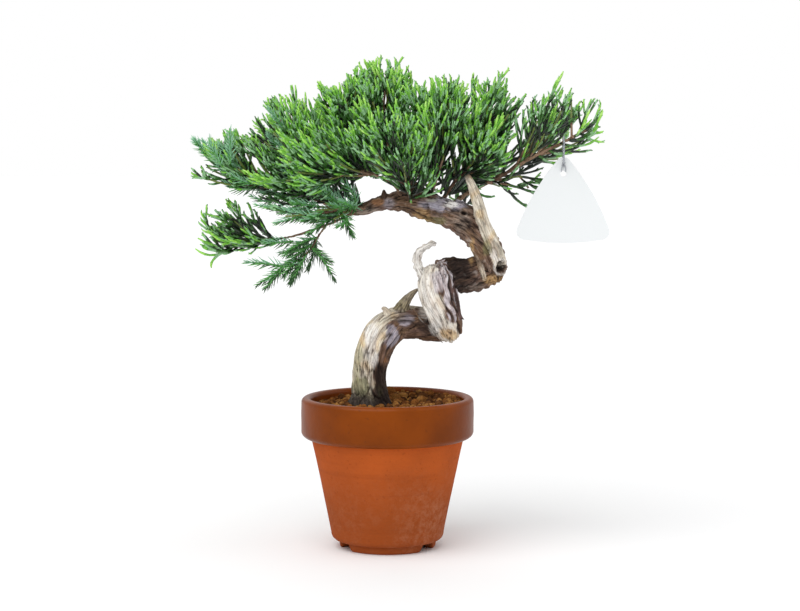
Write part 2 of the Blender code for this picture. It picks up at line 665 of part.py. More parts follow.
def make_tag(parts, cutters, parent, material):
    """A thin upright plate with a hole near its top corner."""
    bm = bmesh.new()
    bm.faces.new([bm.verts.new((point.x * MM, 0, point.y * MM)) for point in tag_outline()])
    front = bmesh.ops.extrude_face_region(bm, geom=list(bm.faces))["geom"]
    moved = [item for item in front if isinstance(item, bmesh.types.BMVert)]
    bmesh.ops.translate(bm, vec=(0, TAG_THICKNESS * MM, 0), verts=moved)
    bmesh.ops.translate(bm, vec=(0, -TAG_THICKNESS * MM / 2, 0), verts=bm.verts)
    tag = add_object("name_tag", mesh_from("name_tag", bm), parts, parent, material)
    tag.location = (TAG_MIDDLE_X * MM, TAG_Y * MM, 0)
    bm = bmesh.new()
    hole = Matrix.Translation((TAG_MIDDLE_X * MM, TAG_Y * MM, (TAG_TOP - TAG_HOLE_DROP) * MM))
    bmesh.ops.create_cone(bm, cap_ends=True, segments=12, radius1=TAG_HOLE_RADIUS * MM,
                          radius2=TAG_HOLE_RADIUS * MM, depth=4 * MM,
                          matrix=hole @ Matrix.Rotation(pi / 2, 4, "X"))
    cut(tag, as_cutter(add_object("tag_hole", mesh_from("tag_hole", bm), cutters, parent)))
    return tag


def wire_run():
    """The wire's closed loop, across the tag's plane: under the top of its hole and over the bough."""
    x, y, z, thick = BOUGHS["bough_right"][1][WIRE_BOUGH_STATION]
    hole_top = TAG_TOP - TAG_HOLE_DROP + TAG_HOLE_RADIUS
    low = Vector((x, TAG_Y, hole_top - GAP - WIRE_RADIUS + WIRE_EYE_RADIUS))
    wrap = WIRE_WRAP * thick + GAP + WIRE_RADIUS
    run = []
    for middle, radius, start in ((low, WIRE_EYE_RADIUS, -pi), (Vector((x, y, z)), wrap, 0.0)):
        for i in range(WIRE_ARC_STEPS + 1):
            angle = start + pi * i / WIRE_ARC_STEPS
            run.append(middle + Vector((0, cos(angle) * radius, sin(angle) * radius)))
    return [(point * MM, WIRE_RADIUS * MM) for point in run]


def main():
    for piece in list(bpy.data.objects):
        bpy.data.objects.remove(piece)
    parts, cutters = new_collection(OBJECT_NAME), new_collection("cutters")
    carrier = bpy.data.objects.new("pot_axis", None)
    parts.objects.link(carrier)
    clay = make_material("terracotta", (0.42, 0.10, 0.03), 0.75)
    soil = make_material("potting soil", (0.22, 0.12, 0.05), 0.95)
    bark = make_material("bark", (0.16, 0.08, 0.05), 0.85)
    deadwood = make_material("deadwood", (0.62, 0.50, 0.36), 0.7)
    foliage = make_material("juniper green", (0.05, 0.19, 0.04), 0.55)
    card = make_material("white tag", (0.85, 0.85, 0.83), 0.4)
    steel = make_material("wire", (0.55, 0.55, 0.56), 0.3, metallic=1.0)
    make_pot(parts, cutters, carrier, clay)
    make_soil(parts, cutters, carrier, soil)
    runs = {name: smooth_run(stations) for name, stations in (TRUNK | DEADWOOD).items()}
    runs |= {name: smooth_run(stations) for name, (_, stations) in BOUGHS.items()}
    cuts = TRUNK_CUTS | DEADWOOD_CUTS | {name: carriers for name, (carriers, _) in BOUGHS.items()}
    moulds = {name: as_cutter(tube("clear_" + name, grown(runs[name], GAP), cutters, carrier,
                                   resolution=4))
              for name in sorted(set().union(*cuts.values()))}
    for name in TRUNK | DEADWOOD | BOUGHS:
        thick = name in TRUNK
        wood = deadwood if name in DEADWOOD else bark
        limb = tube(name, runs[name], parts, carrier, wood, resolution=4 if thick else 1)
        for mould in cuts.get(name, []):
            cut(limb, moulds[mould])
    limbs = {name: smooth_run(stations, 8) for name, stations in (TRUNK | DEADWOOD).items()}
    limbs |= {name: smooth_run(stations, 8) for name, (_, stations) in BOUGHS.items()}
    for name in MASSES:
        points, radii, _ = stem_of(name, runs)
        limbs[name] = [(a.lerp(b, share / 4), thick) for a, b, thick in zip(points, points[1:], radii)
                       for share in range(5)]
    wire = wire_run()
    limbs["tag_wire"] = [(a.lerp(b, share / 8), thick)
                         for (a, thick), (b, _) in zip(wire, wire[1:] + wire[:1])
                         for share in range(8)]
    spaces = Spaces(limbs)
    for name in MASSES:
        grow_mass(name, spaces, runs, parts, carrier, foliage)
    make_tag(parts, cutters, carrier, card)
    tube("tag_wire", wire, parts, carrier, steel, resolution=1, cyclic=True)
    carrier.location = (POT_AXIS[0] * MM, POT_AXIS[1] * MM, 0)


main()
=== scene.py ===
"""Looks of a juniper bonsai in its terracotta pot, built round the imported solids.

Shapes are worked out in millimetres from the pot's axis, as in the model, and are carried to the
frame's metres when a piece is made. The crown grows by the model's own rule, carried to finer shoots.
"""

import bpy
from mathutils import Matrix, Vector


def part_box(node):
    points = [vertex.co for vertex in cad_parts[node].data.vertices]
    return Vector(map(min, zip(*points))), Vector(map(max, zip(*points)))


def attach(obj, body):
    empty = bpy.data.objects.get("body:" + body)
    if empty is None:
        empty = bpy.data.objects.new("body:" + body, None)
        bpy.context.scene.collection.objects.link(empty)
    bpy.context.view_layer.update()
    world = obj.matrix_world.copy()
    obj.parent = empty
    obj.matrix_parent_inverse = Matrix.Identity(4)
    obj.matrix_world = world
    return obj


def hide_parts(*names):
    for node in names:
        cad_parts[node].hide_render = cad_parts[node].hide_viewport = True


bl_info = {
    "name": "Juniper Bonsai",
    "version": (1, 0, 0),
    "blender": (4, 5, 0),
    "location": "3D View > Sidebar > Bonsai",
    "description": "Trunk, crown, pot, soil and hang tag of a potted juniper bonsai",
    "category": "Object",
}

from dataclasses import dataclass
from math import acos, cos, pi, radians, sin, sqrt, tau

import bmesh
import bpy
import numpy as np
from bpy.props import FloatProperty, FloatVectorProperty, IntProperty, PointerProperty
from mathutils import Matrix, Vector, noise

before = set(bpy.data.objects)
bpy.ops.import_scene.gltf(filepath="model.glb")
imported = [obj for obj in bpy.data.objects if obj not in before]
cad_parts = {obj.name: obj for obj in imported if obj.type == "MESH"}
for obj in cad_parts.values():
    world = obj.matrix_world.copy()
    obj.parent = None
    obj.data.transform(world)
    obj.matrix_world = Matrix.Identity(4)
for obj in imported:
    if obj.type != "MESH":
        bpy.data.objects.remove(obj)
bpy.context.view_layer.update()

MM = 0.001
GAP = 0.3
BODY = "root"
FRONT = np.array([0.0, -1.0, 0.0])
UP = np.array([0.0, 0.0, 1.0])
GOLDEN_TURN = pi * (3 - sqrt(5))

POT_LOW, POT_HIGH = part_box("pot")
AXIS = (POT_LOW + POT_HIGH) / 2
AXIS_ROW = np.array([AXIS.x, AXIS.y, 0.0])
TO_FRAME = Matrix.Translation((AXIS.x, AXIS.y, 0)) @ Matrix.Scale(MM, 4)

# Pot
RIM_RADIUS = (POT_HIGH.x - POT_LOW.x) / 2 / MM
POT_HEIGHT = POT_HIGH.z / MM
RIM_WALL = 7.5
LIP_DROP = 3.4
BAND_FOOT = 88.1
BODY_TOP = (57.6, 82.9)
BODY_FOOT = (42.8, 11.6)
UNDERSIDE = 6.0
HEEL_RADIUS = 38.5
FOOT_OUTER = 36.0
FOOT_INNER = 29.5
DRAIN_RADIUS = 6.5
FLOOR_TOP = 13.5
INNER_FLOOR_RADIUS = 35.5
INNER_WAIST = (50.8, 80.0)
NOTCH_COUNT = 3
NOTCH_WIDTH = 11.0
NOTCH_SLOPE = 4.0
NOTCH_TURN = -33.0

# Soil
SOIL_TOP = 107.6
MOUND_HEIGHT = 5.0
SEAT_RADIUS = 33.0
MOUND_RUN = 12.0
TRUNK_FOOT = (-13.7, 0.0)
TRUNK_ROOM = 16.5
LARGE_LUMPS = (3.6, 5.2)
SMALL_LUMPS = (1.7, 3.4)
GRAINS = (0.5, 1.5)
LUMP_TRIES = 40000
SOIL_RINGS = 34
SOIL_STEPS = 128
# Dark and light of clay lumps, bright lumps, dark lumps, and of the grit and the bed under them, near black
# as painted shade in the gaps between the lumps
SOIL_TONES = [((100, 58, 26), (144, 92, 44)), ((126, 80, 38), (172, 122, 66)),
              ((72, 42, 22), (108, 68, 36)), ((30, 20, 14), (56, 36, 22))]

# Trunk and deadwood: (x, y, z, radius) stations, as in the model
TRUNK = {
    "trunk_lower": [
        (-13.7, 0, SOIL_TOP - 2, 17.6), (-13.7, 0, 114.0, 14.4), (-13.7, 0, 124.0, 12.9),
        (-12.9, 0, 136.5, 12.9), (-10.0, 0, 149.6, 13.9), (-3.4, 2, 161.4, 15.0),
        (7.4, 5, 169.3, 13.3), (20.6, 8, 169.6, 12.2), (32.0, 7, 167.6, 12.2), (42.0, 2, 167.4, 12.0),
    ],
    "trunk_twist": [
        (47.0, 0, 160.6, 7.4), (45.4, -4, 166.0, 10.8), (41.9, -8, 178.1, 12.9),
        (37.6, -9, 192.0, 13.8), (36.8, -7, 203.0, 13.2), (37.6, -5, 212.4, 7.6),
    ],
    "trunk_elbow": [
        (38.0, -1, 204.0, 12.4), (50.6, 3, 205.2, 13.0), (64.9, 5, 206.6, 13.2),
        (77.0, 4, 208.6, 11.6), (87.0, 3, 205.4, 4.6),
    ],
    "trunk_upper": [
        (80.6, 2, 206.0, 8.0), (78.2, 2, 213.0, 10.9), (75.6, 0, 223.6, 11.3),
        (68.6, -2, 235.1, 11.3), (59.2, -3, 245.4, 11.6), (46.4, -2, 252.8, 11.3),
    ],
    "trunk_top_limb": [
        (51.4, -2, 250.4, 4.0), (46.6, -2, 252.8, 9.8), (37.0, -1, 256.0, 10.7),
        (28.1, 0, 258.4, 10.1), (9.4, 2, 261.2, 7.4), (-7.1, 3, 259.1, 5.4),
        (-22.1, 3, 254.3, 4.3), (-37.0, 3, 256.6, 3.6), (-50.0, 4, 263.0, 2.9),
    ],
}
DEADWOOD = {
    "deadwood_spike": [
        (83.0, -3, 215.0, 6.8), (79.0, -8, 229.0, 6.0), (72.6, -12, 244.0, 5.2),
        (65.8, -13, 265.9, 4.3), (59.2, -12, 281.6, 2.2),
    ],
    "deadwood_stub_white": [
        (27.0, -6, 205.0, 4.2), (22.6, -7, 215.4, 3.5), (23.0, -8, 222.6, 3.1), (28.6, -8, 227.6, 2.7),
        (35.8, -8, 230.9, 2.0),
    ],
    "deadwood_stub_lower": [
        (7.0, 3, 173.0, 7.0), (12.4, 1, 184.0, 4.8), (17.6, 0, 191.0, 2.9), (23.2, -1, 195.6, 1.0),
    ],
}
NUBS = {
    "crown_base": [(29.0, 0, 261.0, 7.0), (23.0, -2, 268.5, 5.6), (17.5, -3, 274.0, 3.2)],
    "nub_on_limb": [(-2.0, 1, 261.0, 3.2), (-2.4, 0, 266.0, 2.4), (-2.8, -1, 270.0, 1.0)],
    "nub_on_shoulder": [(1.0, -3, 174.0, 3.4), (-1.4, -4, 180.0, 2.4), (-4.4, -4, 181.6, 1.3)],
    "coil_flap": [(49.0, -12, 197.0, 1.8), (52.0, -12, 186.0, 2.1), (54.0, -11, 177.0, 1.5),
                  (57.4, -11, 173.0, 0.5)],
    "loose_strand": [(18.6, -9, 181.4, 0.8), (26.0, -13, 172.0, 0.9), (34.0, -15, 163.0, 0.9),
                     (41.6, -13, 155.8, 0.6)],
    "strip_edge": [(60.0, -10, 237.0, 1.2), (65.0, -6, 224.0, 1.5), (70.0, -7, 212.0, 1.4),
                   (73.0, -8, 203.0, 0.7)],
}
STRAND_SIDES = 14
STRAND_STEPS = 10
CHART_STEPS = 24
# Strands that a limb is twisted from: how many, turns over its length, offset and width by its radius
STRANDS = {
    "trunk_lower": (4, 0.22, 0.38, 0.66),
    "trunk_twist": (5, 0.12, 0.42, 0.62),
    "trunk_elbow": (4, 0.15, 0.36, 0.68),
    "trunk_upper": (4, 0.20, 0.38, 0.66),
    "trunk_top_limb": (3, 0.30, 0.28, 0.76),
    "deadwood_spike": (3, 0.15, 0.34, 0.72),
}

# Boughs: stations from inside their carriers to where they enter a mass
BOUGHS = {
    "bough_right": [(44.0, 2, 255.0, 4.4), (60.0, 8, 267.0, 3.7), (86.0, 5, 280.4, 3.1),
                    (107.0, -3, 293.6, 2.7), (130.6, -13, 305.6, 2.3), (138.0, -17, 310.0, 2.1)],
    "bough_right_low": [(72.0, 7, 272.8, 2.2), (80.0, 11, 278.6, 1.9), (88.0, 13, 282.6, 1.7)],
    "bough_right_behind": [(98.0, 0, 288.0, 2.4), (104.0, 17, 294.0, 2.1), (109.0, 30, 298.0, 1.9)],
    "bough_crown_right": [(38.0, 2, 257.0, 3.6), (54.0, 9, 281.0, 2.9), (67.0, 10, 300.0, 2.3)],
    "bough_crown_inner": [(50.0, 7, 275.0, 2.2), (57.5, 1, 282.0, 2.0), (61.0, -4, 286.0, 1.8)],
    "bough_crown_mid": [(30.0, -1, 258.0, 3.4), (37.0, -6, 280.0, 2.7), (42.0, -6, 296.0, 2.2)],
    "bough_crown_peak": [(18.0, 1, 259.6, 3.6), (7.0, 4, 284.0, 2.9), (0.0, 5, 306.0, 2.3)],
    "bough_crown_left": [(8.0, 3.6, 281.5, 2.4), (-8.0, 3, 289.5, 2.3), (-24.0, 1, 300.0, 2.1)],
    "bough_crown_front": [(18.0, 0, 259.8, 3.0), (15.0, -20, 272.0, 2.4), (10.0, -30, 283.0, 2.0)],
    "bough_over_left": [(12.0, 2, 260.8, 2.6), (4.0, -8, 274.0, 2.1), (-18.0, -16, 284.6, 1.8),
                        (-33.0, -24, 284.6, 1.6)],
    "bough_left_mid": [(-40.0, 3, 258.0, 2.9), (-53.0, 9, 279.0, 2.4), (-61.0, 10, 294.0, 2.0)],
    "bough_far_left": [(-30.0, 3, 255.0, 2.9), (-54.0, -5, 262.6, 2.4), (-76.0, -4, 269.6, 2.1),
                       (-95.0, -1, 272.0, 1.8)],
    "bough_low_left": [(-22.0, 3, 254.3, 2.6), (-40.0, -5, 246.0, 2.2), (-70.0, -4, 235.6, 1.8),
                       (-87.0, 0, 233.0, 1.5)],
    "bough_hanging": [(-46.0, -5, 243.2, 1.8), (-52.0, -7, 235.0, 1.6), (-56.0, -8, 228.0, 1.4)],
    "bough_low_front": [(-16.0, 3, 256.0, 2.4), (-26.0, -16, 257.0, 2.0), (-34.0, -25, 256.0, 1.7)],
    "bough_back_left": [(-32.0, 3, 255.2, 2.9), (-50.0, 28, 271.0, 2.4), (-64.0, 40, 284.0, 2.0)],
    "bough_back_centre_left": [(27.0, 31, 278.4, 2.2), (6.0, 41, 286.0, 2.1), (-20.0, 44, 290.0, 2.0)],
    "bough_back_centre": [(24.0, 0, 259.0, 3.2), (27.0, 32, 279.0, 2.5), (28.0, 46, 292.0, 2.1)],
    "bough_back_right": [(54.0, -2, 248.4, 3.2), (60.0, 27, 265.0, 2.5), (68.0, 44, 286.0, 2.1)],
}

# Where shoots begin on each bough, as a share of its length: the rest is bare
LEAFY_FROM = {
    "bough_right": 0.35, "bough_right_low": 0.2, "bough_right_behind": 0.2, "bough_crown_right": 0.1,
    "bough_crown_inner": 0.1, "bough_crown_mid": 0.1, "bough_crown_peak": 0.12, "bough_crown_left": 0.55,
    "bough_crown_front": 0.15, "bough_over_left": 0.55, "bough_left_mid": 0.3, "bough_far_left": 0.35,
    "bough_low_left": 0.86, "bough_hanging": 0.5, "bough_low_front": 0.3, "bough_back_left": 0.3,
    "bough_back_centre_left": 0.4, "bough_back_centre": 0.3, "bough_back_right": 0.3,
}
LEAFY_ROOM = 12.0
BOUGH_SCALE = 0.46
BOUGH_SIDES = 9


@dataclass
class Mass:
    """A mass of foliage: the limb that carries it, its centre and reach, how many main twigs it has and
    how they lift, the share of its shoots that is juvenile, the way in which its shoots lean, the share
    that is kept, how long they are beside the others, and a stem's end that isn't past its centre."""
    carrier: str
    centre: tuple
    reach: tuple
    twigs: int
    lift: float
    juvenile: float
    lean: tuple
    kept: float = 1.0
    vigour: float = 1.0
    stem_end: tuple = None


MASSES = {
    "foliage_far_left":
        Mass("bough_far_left", (-117, 0, 290), (30, 31, 27), 12, 0.5, 0.14, (-0.8, -0.05, 0.95), 0.7),
    "foliage_left_mid":
        Mass("bough_left_mid", (-74, 10, 313), (32, 32, 33), 11, 0.6, 0.04, (-0.5, 0.0, 1.2), 0.52, 1.15),
    "foliage_left_front":
        Mass("bough_over_left", (-54, -34, 286), (34, 26, 30), 10, 0.4, 0.04, (-1.0, -0.15, 0.95),
             0.56, 1.15),
    "foliage_low_left":
        Mass("bough_low_left", (-111, 1, 241), (37, 27, 27), 7, 0.2, 0.0, (-0.9, -0.1, 1.2), 0.48,
             stem_end=(-124, -2, 224.5)),
    "foliage_hanging":
        Mass("bough_hanging", (-68, -7, 220), (32, 22, 23), 0, -0.6, 1.0, (-0.4, -0.2, -0.8), 0.06,
             stem_end=(-72, -10, 217)),
    "foliage_low_front":
        Mass("bough_low_front", (-52, -36, 252), (35, 24, 19), 6, 0.0, 0.7, (-0.8, -0.25, 0.25), 0.2),
    "foliage_crown_left":
        Mass("bough_crown_left", (-31, 0, 328), (28, 33, 33), 10, 0.7, 0.0, (-0.45, 0.0, 1.3), 0.7, 1.1),
    "foliage_crown_peak":
        Mass("bough_crown_peak", (-1, 6, 336), (28, 34, 36), 11, 0.8, 0.0, (-0.12, 0.0, 1.5), 0.85, 1.08),
    "foliage_crown_front":
        Mass("bough_crown_front", (3, -38, 298), (35, 29, 30), 11, 0.4, 0.0, (-0.25, -0.12, 1.4), 0.88, 1.1),
    "foliage_crown_mid":
        Mass("bough_crown_mid", (40, -10, 322), (29, 35, 33), 10, 0.7, 0.0, (0.1, -0.04, 1.5), 0.78, 1.12),
    "foliage_crown_right":
        Mass("bough_crown_right", (74, 8, 324), (27, 34, 31), 9, 0.7, 0.0, (0.4, 0.04, 1.3), 0.8),
    "foliage_crown_inner":
        Mass("bough_crown_inner", (66, -14, 292), (26, 22, 22), 7, 0.3, 0.0, (0.35, -0.15, 1.3)),
    "foliage_right":
        Mass("bough_right", (127, -4, 317), (34, 37, 34), 9, 0.5, 0.0, (0.45, -0.04, 1.25), 0.4, 1.3,
             (147, -20, 314)),
    "foliage_right_low":
        Mass("bough_right_low", (100, 13, 275), (28, 22, 22), 3, -0.3, 0.0, (1.5, 0.2, -0.35), 0.1, 1.2),
    "foliage_right_behind":
        Mass("bough_right_behind", (112, 46, 304), (34, 32, 30), 8, 0.5, 0.0, (0.5, 0.35, 1.1), 0.4, 1.1),
    "foliage_back_left":
        Mass("bough_back_left", (-82, 54, 296), (36, 34, 32), 10, 0.5, 0.0, (-0.6, 0.4, 1.0)),
    "foliage_back_centre_left":
        Mass("bough_back_centre_left", (-28, 60, 308), (35, 34, 34), 10, 0.6, 0.0, (-0.25, 0.4, 1.2)),
    "foliage_back_centre":
        Mass("bough_back_centre", (28, 62, 310), (34, 34, 35), 10, 0.6, 0.0, (0.1, 0.4, 1.2)),
    "foliage_back_right":
        Mass("bough_back_right", (72, 62, 302), (30, 34, 31), 10, 0.5, 0.0, (0.4, 0.4, 1.1)),
    "foliage_limb_tip":
        Mass("trunk_top_limb", (-60, 0, 272), (17, 20, 15), 4, 0.3, 0.2, (-0.7, 0.0, 0.6)),
}
# Juvenile sprays that show in the photograph, and a few behind them, from root to tip
SPRAYS = {
    "foliage_hanging": [
        ((-56, -8, 229), (-74, -10, 216)), ((-72, -10, 217), (-96, -10, 200)),
        ((-58, -8, 228), (-40, -12, 204)), ((-77, -10, 213), (-104, -8, 216)),
        ((-78, -11, 212), (-90, -14, 198)), ((-70, -12, 232), (-92, -10, 231)),
        ((-56, -4, 229), (-80, 12, 222)), ((-56, -4, 229), (-44, 12, 216))],
    "foliage_low_front": [
        ((-30, -28, 256), (-62, -30, 254)), ((-58, -30, 254), (-95, -22, 259)),
        ((-34, -28, 253), (-26, -34, 238)), ((-40, -34, 252), (-56, -44, 240)),
        ((-52, -30, 254), (-80, -36, 247))],
    "foliage_far_left": [
        ((-116, -20, 290), (-116, -24, 316)), ((-122, -20, 288), (-132, -22, 309))],
}
# Long scale shoots that show singly, from root to tip through their middle
LONG_SHOOTS = {
    "foliage_right_low": [
        ((82, 12, 279.5), (96, 10, 264), (107, 8, 255.5)),
        ((88, 12, 276), (98, 13, 262), (109, 12, 257)),
        ((89, 12, 275), (102, 10, 271.5), (115.5, 8, 283)),
        ((99, 10, 272), (107, 10, 268.5), (117, 8, 267.5)),
        ((88, 13, 276.5), (96, 14, 280.5), (103, 12, 287)),
        ((98, 12, 273), (109, 12, 275), (120, 12, 273.5)),
        ((84, 12, 280), (90, 22, 270), (100, 28, 266))],
    "foliage_crown_inner": [((62, -14, 273), (70, -14, 266.5), (80, -14, 265.5))],
    "foliage_low_left": [
        ((-116, -2, 227), (-130, -3, 221), (-144, -3, 226)),
        ((-120, -2, 225), (-130, -3, 218), (-132, -3, 211.5)),
        ((-110, -2, 229), (-126, -3, 228), (-142, -4, 234))],
    "foliage_right": [
        ((112, -5, 297), (118, -6, 292), (127, -6, 290.5)),
        ((128, -13, 305), (143, -16, 303.5), (156.5, -16, 309.5)),
        ((134, -15, 308), (144, -18, 308), (156, -18, 313.5)),
        ((138, -16, 309), (147, -12, 314), (158, -12, 317)),
        ((140, -16, 310), (147, -18, 316), (156, -18, 324)),
        ((120, -8, 300), (127, -10, 297), (136, -10, 299))],
}
# Single twigs with side shoots
SPRIGS = {
    "foliage_crown_left": [
        ((-17, 3, 256), (-23, -4, 267), (-27, -8, 284)), ((-22, 3, 256), (-29, -2, 268), (-33, -6, 286)),
        ((-28, 3, 258), (-36, 0, 268), (-42, -2, 284))],
    "foliage_crown_right": [((72, 2, 326), (80, 0, 343), (86, 0, 358))],
    "foliage_crown_inner": [
        ((40, -4, 267), (43, -8, 276), (48, -11, 287)), ((46, -4, 266), (53, -8, 273), (59, -10, 283)),
        ((34, 4, 269), (37, 5, 281), (42, 4, 293)), ((42, 6, 269), (48, 8, 281), (54, 8, 293))],
    "foliage_limb_tip": [
        ((-34, 3, 258), (-42, 4, 265), (-56, 2, 273)), ((-20, 3, 256), (-27, 2, 263), (-40, 0, 268)),
        ((-40, 3, 259), (-48, -4, 262), (-64, -6, 266))],
}
# Openings and notches that the sky shows through from the front: middle x and z, half width and half height
SKY = [(-98, 290, 2, 5), (-79, 239, 12, 4), (-7, 271.5, 10, 5), (-42, 361, 12, 13), (-57, 346, 5, 8),
       (-102, 332, 8, 7), (28, 362, 3, 6), (58, 356, 4, 4), (96, 350, 6, 7), (53, 299, 2, 3),
       (56, 288, 2, 2), (147, 290, 12, 8), (175, 318, 16, 40), (170, 357, 24, 20), (93, 303, 3, 4),
       (46, 297, 1.5, 2), (99, 319, 2, 4), (104, 312, 2.5, 4), (134.5, 282, 4, 4), (-156, 284, 10, 9)]
SHOOT_PIECES = {
    "shoots_left": ["foliage_far_left", "foliage_low_left", "foliage_left_mid", "foliage_limb_tip"],
    "shoots_left_front": ["foliage_left_front", "foliage_low_front", "foliage_hanging"],
    "shoots_crown_left": ["foliage_crown_left", "foliage_crown_peak"],
    "shoots_crown_front": ["foliage_crown_front", "foliage_crown_mid", "foliage_crown_inner"],
    "shoots_crown_right": ["foliage_crown_right", "foliage_right_low", "foliage_back_right"],
    "shoots_right": ["foliage_right", "foliage_right_behind"],
    "shoots_back_left": ["foliage_back_left", "foliage_back_centre_left"],
    "shoots_back": ["foliage_back_centre"],
}
SPACE_BLEND = 10.0
SPACE_GROWTH = 0.5
WIRE_ROOM_ASIDE = 4.0
WIRE_ROOM_BEHIND = 6.0
WIRE_ROOM_TOP = 316.0
LIMB_MARGIN = 0.4
TAG_ROOM = 3.0
STEM_PAST_CENTRE = 0.35
STEM_BOW = 0.45
STEM_END_RADIUS = 0.9
TWIG_STATIONS = 6
TWIG_RADII = (1.0, 0.7)
TWIG_REACH = (0.45, 0.78)
TWIG_LENGTH = 34.0
PLACE_JITTER = 0.03
SPRIG_REACH = 16.0
# A shoot's green, counted along GREENS: where it starts from, what each millimetre out of its mass adds, as
# painted shade deep in the crown, and its height there, as painted light on high shoots, and its spray's
# tone, how much shoots differ, and the change from root to tip: painted shade at the root, and a lighter tip
# that is partly fresh growth and partly painted light
GREEN_MIDDLE = 3.4
GREEN_SHADE_BY_DEPTH = 0.08
GREEN_LIGHT_BY_HEIGHT = 0.2
GREEN_BY_TONE = 0.75
GREEN_SCATTER = 0.6
GREEN_SHADE_ALONG = (-1.3, 0.6)
NEEDLE_TURNS = 4
NEEDLE_RADII = np.array([0.36, 0.46, 0.34, 0.08])
NEEDLE_LENGTH = (7.0, 9.6)
NEEDLE_REACH = 16.0

# Hang tag and its wire
TAG_LOW, TAG_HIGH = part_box("name_tag")
TAG_MIDDLE_X = ((TAG_LOW + TAG_HIGH) / 2 - AXIS).x / MM
TAG_Y = ((TAG_LOW + TAG_HIGH) / 2 - AXIS).y / MM
TAG_TOP = TAG_HIGH.z / MM
TAG_FOOT = 233.2
TAG_HALF_WIDTH = 34.6
TAG_CORNER = 6.0
TAG_CROWN = 2.4
TAG_THICKNESS = 0.8
TAG_HOLE_RADIUS = 2.2
TAG_HOLE_DROP = 12.0
WIRE_LOW, WIRE_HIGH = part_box("tag_wire")
STRAND_RADIUS = 0.42
STRAND_OFFSET = 0.46
STRAND_PITCH = 3.4
EYE_OFFSET = 1.5
LOOP_FOOT = 2.2
LOOP_TURN_STEPS = 18
LOOP_SIDE_STEPS = 42


def srgb(red, green, blue):
    """A linear colour with alpha from the 0 to 255 values that a picture editor shows."""
    levels = [value / 255 for value in (red, green, blue)]
    return (*[v / 12.92 if v <= 0.04045 else ((v + 0.055) / 1.055) ** 2.4 for v in levels], 1.0)


# Greens of the shoots, from the crown's inside to its tips: the darkest are painted shade deep in the crown,
# and the lightest are partly painted light
GREENS = {
    "shoot_inner": srgb(16, 38, 12),
    "shoot_deep": srgb(60, 114, 38),
    "shoot_blue": srgb(156, 208, 150),
    "shoot_green": srgb(130, 206, 68),
    "shoot_fresh": srgb(168, 236, 92),
    "shoot_tip": srgb(192, 246, 120),
}
# Needle greens: the light one is painted light on needles that face up, and the dark one is painted shade on
# those that point down
NEEDLES = {"needle_light": srgb(160, 218, 176), "needle_green": srgb(110, 184, 96),
           "needle_dark": srgb(56, 100, 52)}
WOOD = {name: np.array(srgb(*colour)[:3]) for name, colour in {
    "cream": (224, 214, 196), "white": (244, 240, 234), "ochre": (204, 166, 108), "silver": (176, 172, 186),
    "lilac": (214, 206, 212), "purple": (108, 86, 86), "bark": (118, 92, 70), "dark": (40, 29, 25),
    "orange": (154, 110, 76), "moss": (132, 134, 90), "mould": (66, 70, 42), "olive": (158, 154, 118),
    "grey": (150, 138, 128),
}.items()}

# Patches painted on the front of the wood: middle x and z, half width and height, strength. The white one at
# x -12, the silver one at x 3 and z 161, and the silver and white ones on top of the top limb are painted
# highlights; the rest paint the wood lighter, darker or in other colours in places
PATCHES = [
    ("olive", -23, 146, 5, 20, 0.6), ("moss", -20, 122, 8, 9, 0.7), ("white", -12, 156, 6, 22, 0.8),
    ("ochre", -19, 158, 3, 7, 0.5), ("silver", 3, 161, 6, 8, 0.75), ("orange", -1, 142, 2.6, 3, 0.7),
    ("dark", -4, 124, 7, 17, 0.85), ("silver", 14, 172, 7, 5, 0.65), ("dark", 29, 168, 9, 9, 0.75),
    ("grey", 8, 176, 6, 5, 0.6), ("white", 29, 190, 6, 20, 0.55), ("lilac", 38, 204, 8, 10, 0.7),
    ("ochre", 46, 163, 8, 5, 0.7), ("white", 36, 174, 5, 14, 0.6), ("dark", 52, 188, 3, 14, 0.6),
    ("dark", 55, 209, 8, 12, 0.85), ("ochre", 80, 202, 7, 5, 0.55), ("grey", 66, 197, 8, 4, 0.4),
    ("ochre", 63, 224, 2.5, 12, 0.5), ("bark", 68, 220, 4, 12, 0.7), ("bark", 62, 240, 6, 8, 0.6),
    ("white", 79, 222, 3, 5, 0.7), ("moss", 74, 228, 4, 8, 0.6), ("silver", 43, 260, 17, 7, 0.9),
    ("white", 46, 259, 7, 3, 0.8), ("white", 33, 263, 5, 2.5, 0.7), ("dark", 36, 253, 6, 2.5, 0.5),
    ("moss", 33, 247, 10, 4, 0.5), ("grey", 56, 246, 7, 7, 0.5), ("ochre", 27, 250, 9, 6, 0.5),
    ("bark", 14, 262, 8, 6, 0.6), ("silver", 1, 260, 5, 5, 0.5), ("orange", -7, 261, 6, 3, 0.8),
    ("grey", -14, 254, 10, 3, 0.8),
]
# A ring of healed bark, and a hollow whose sunk inside is painted dark as painted shade: x and z, and the
# ring's radius
KNOT = (56.6, 253.0, 2.7)
HOLE = (84.6, 212.6)


# Arrays

def unit(vectors):
    return vectors / np.maximum(np.linalg.norm(vectors, axis=-1, keepdims=True), 1e-9)


def square_to(vectors, onward):
    """Vectors turned square to a direction."""
    return unit(vectors - (vectors * onward).sum(-1, keepdims=True) * onward)


def ease(low, high, values):
    """0 below low, 1 above high and a smooth step between."""
    t = np.clip((values - low) / (high - low), 0, 1)
    return t * t * (3 - 2 * t)


def noise_at(points, size, seed):
    """Smooth noise from about -1 to 1, with features of about this size."""
    return np.array([noise.noise(Vector(p)) for p in points / size + seed])


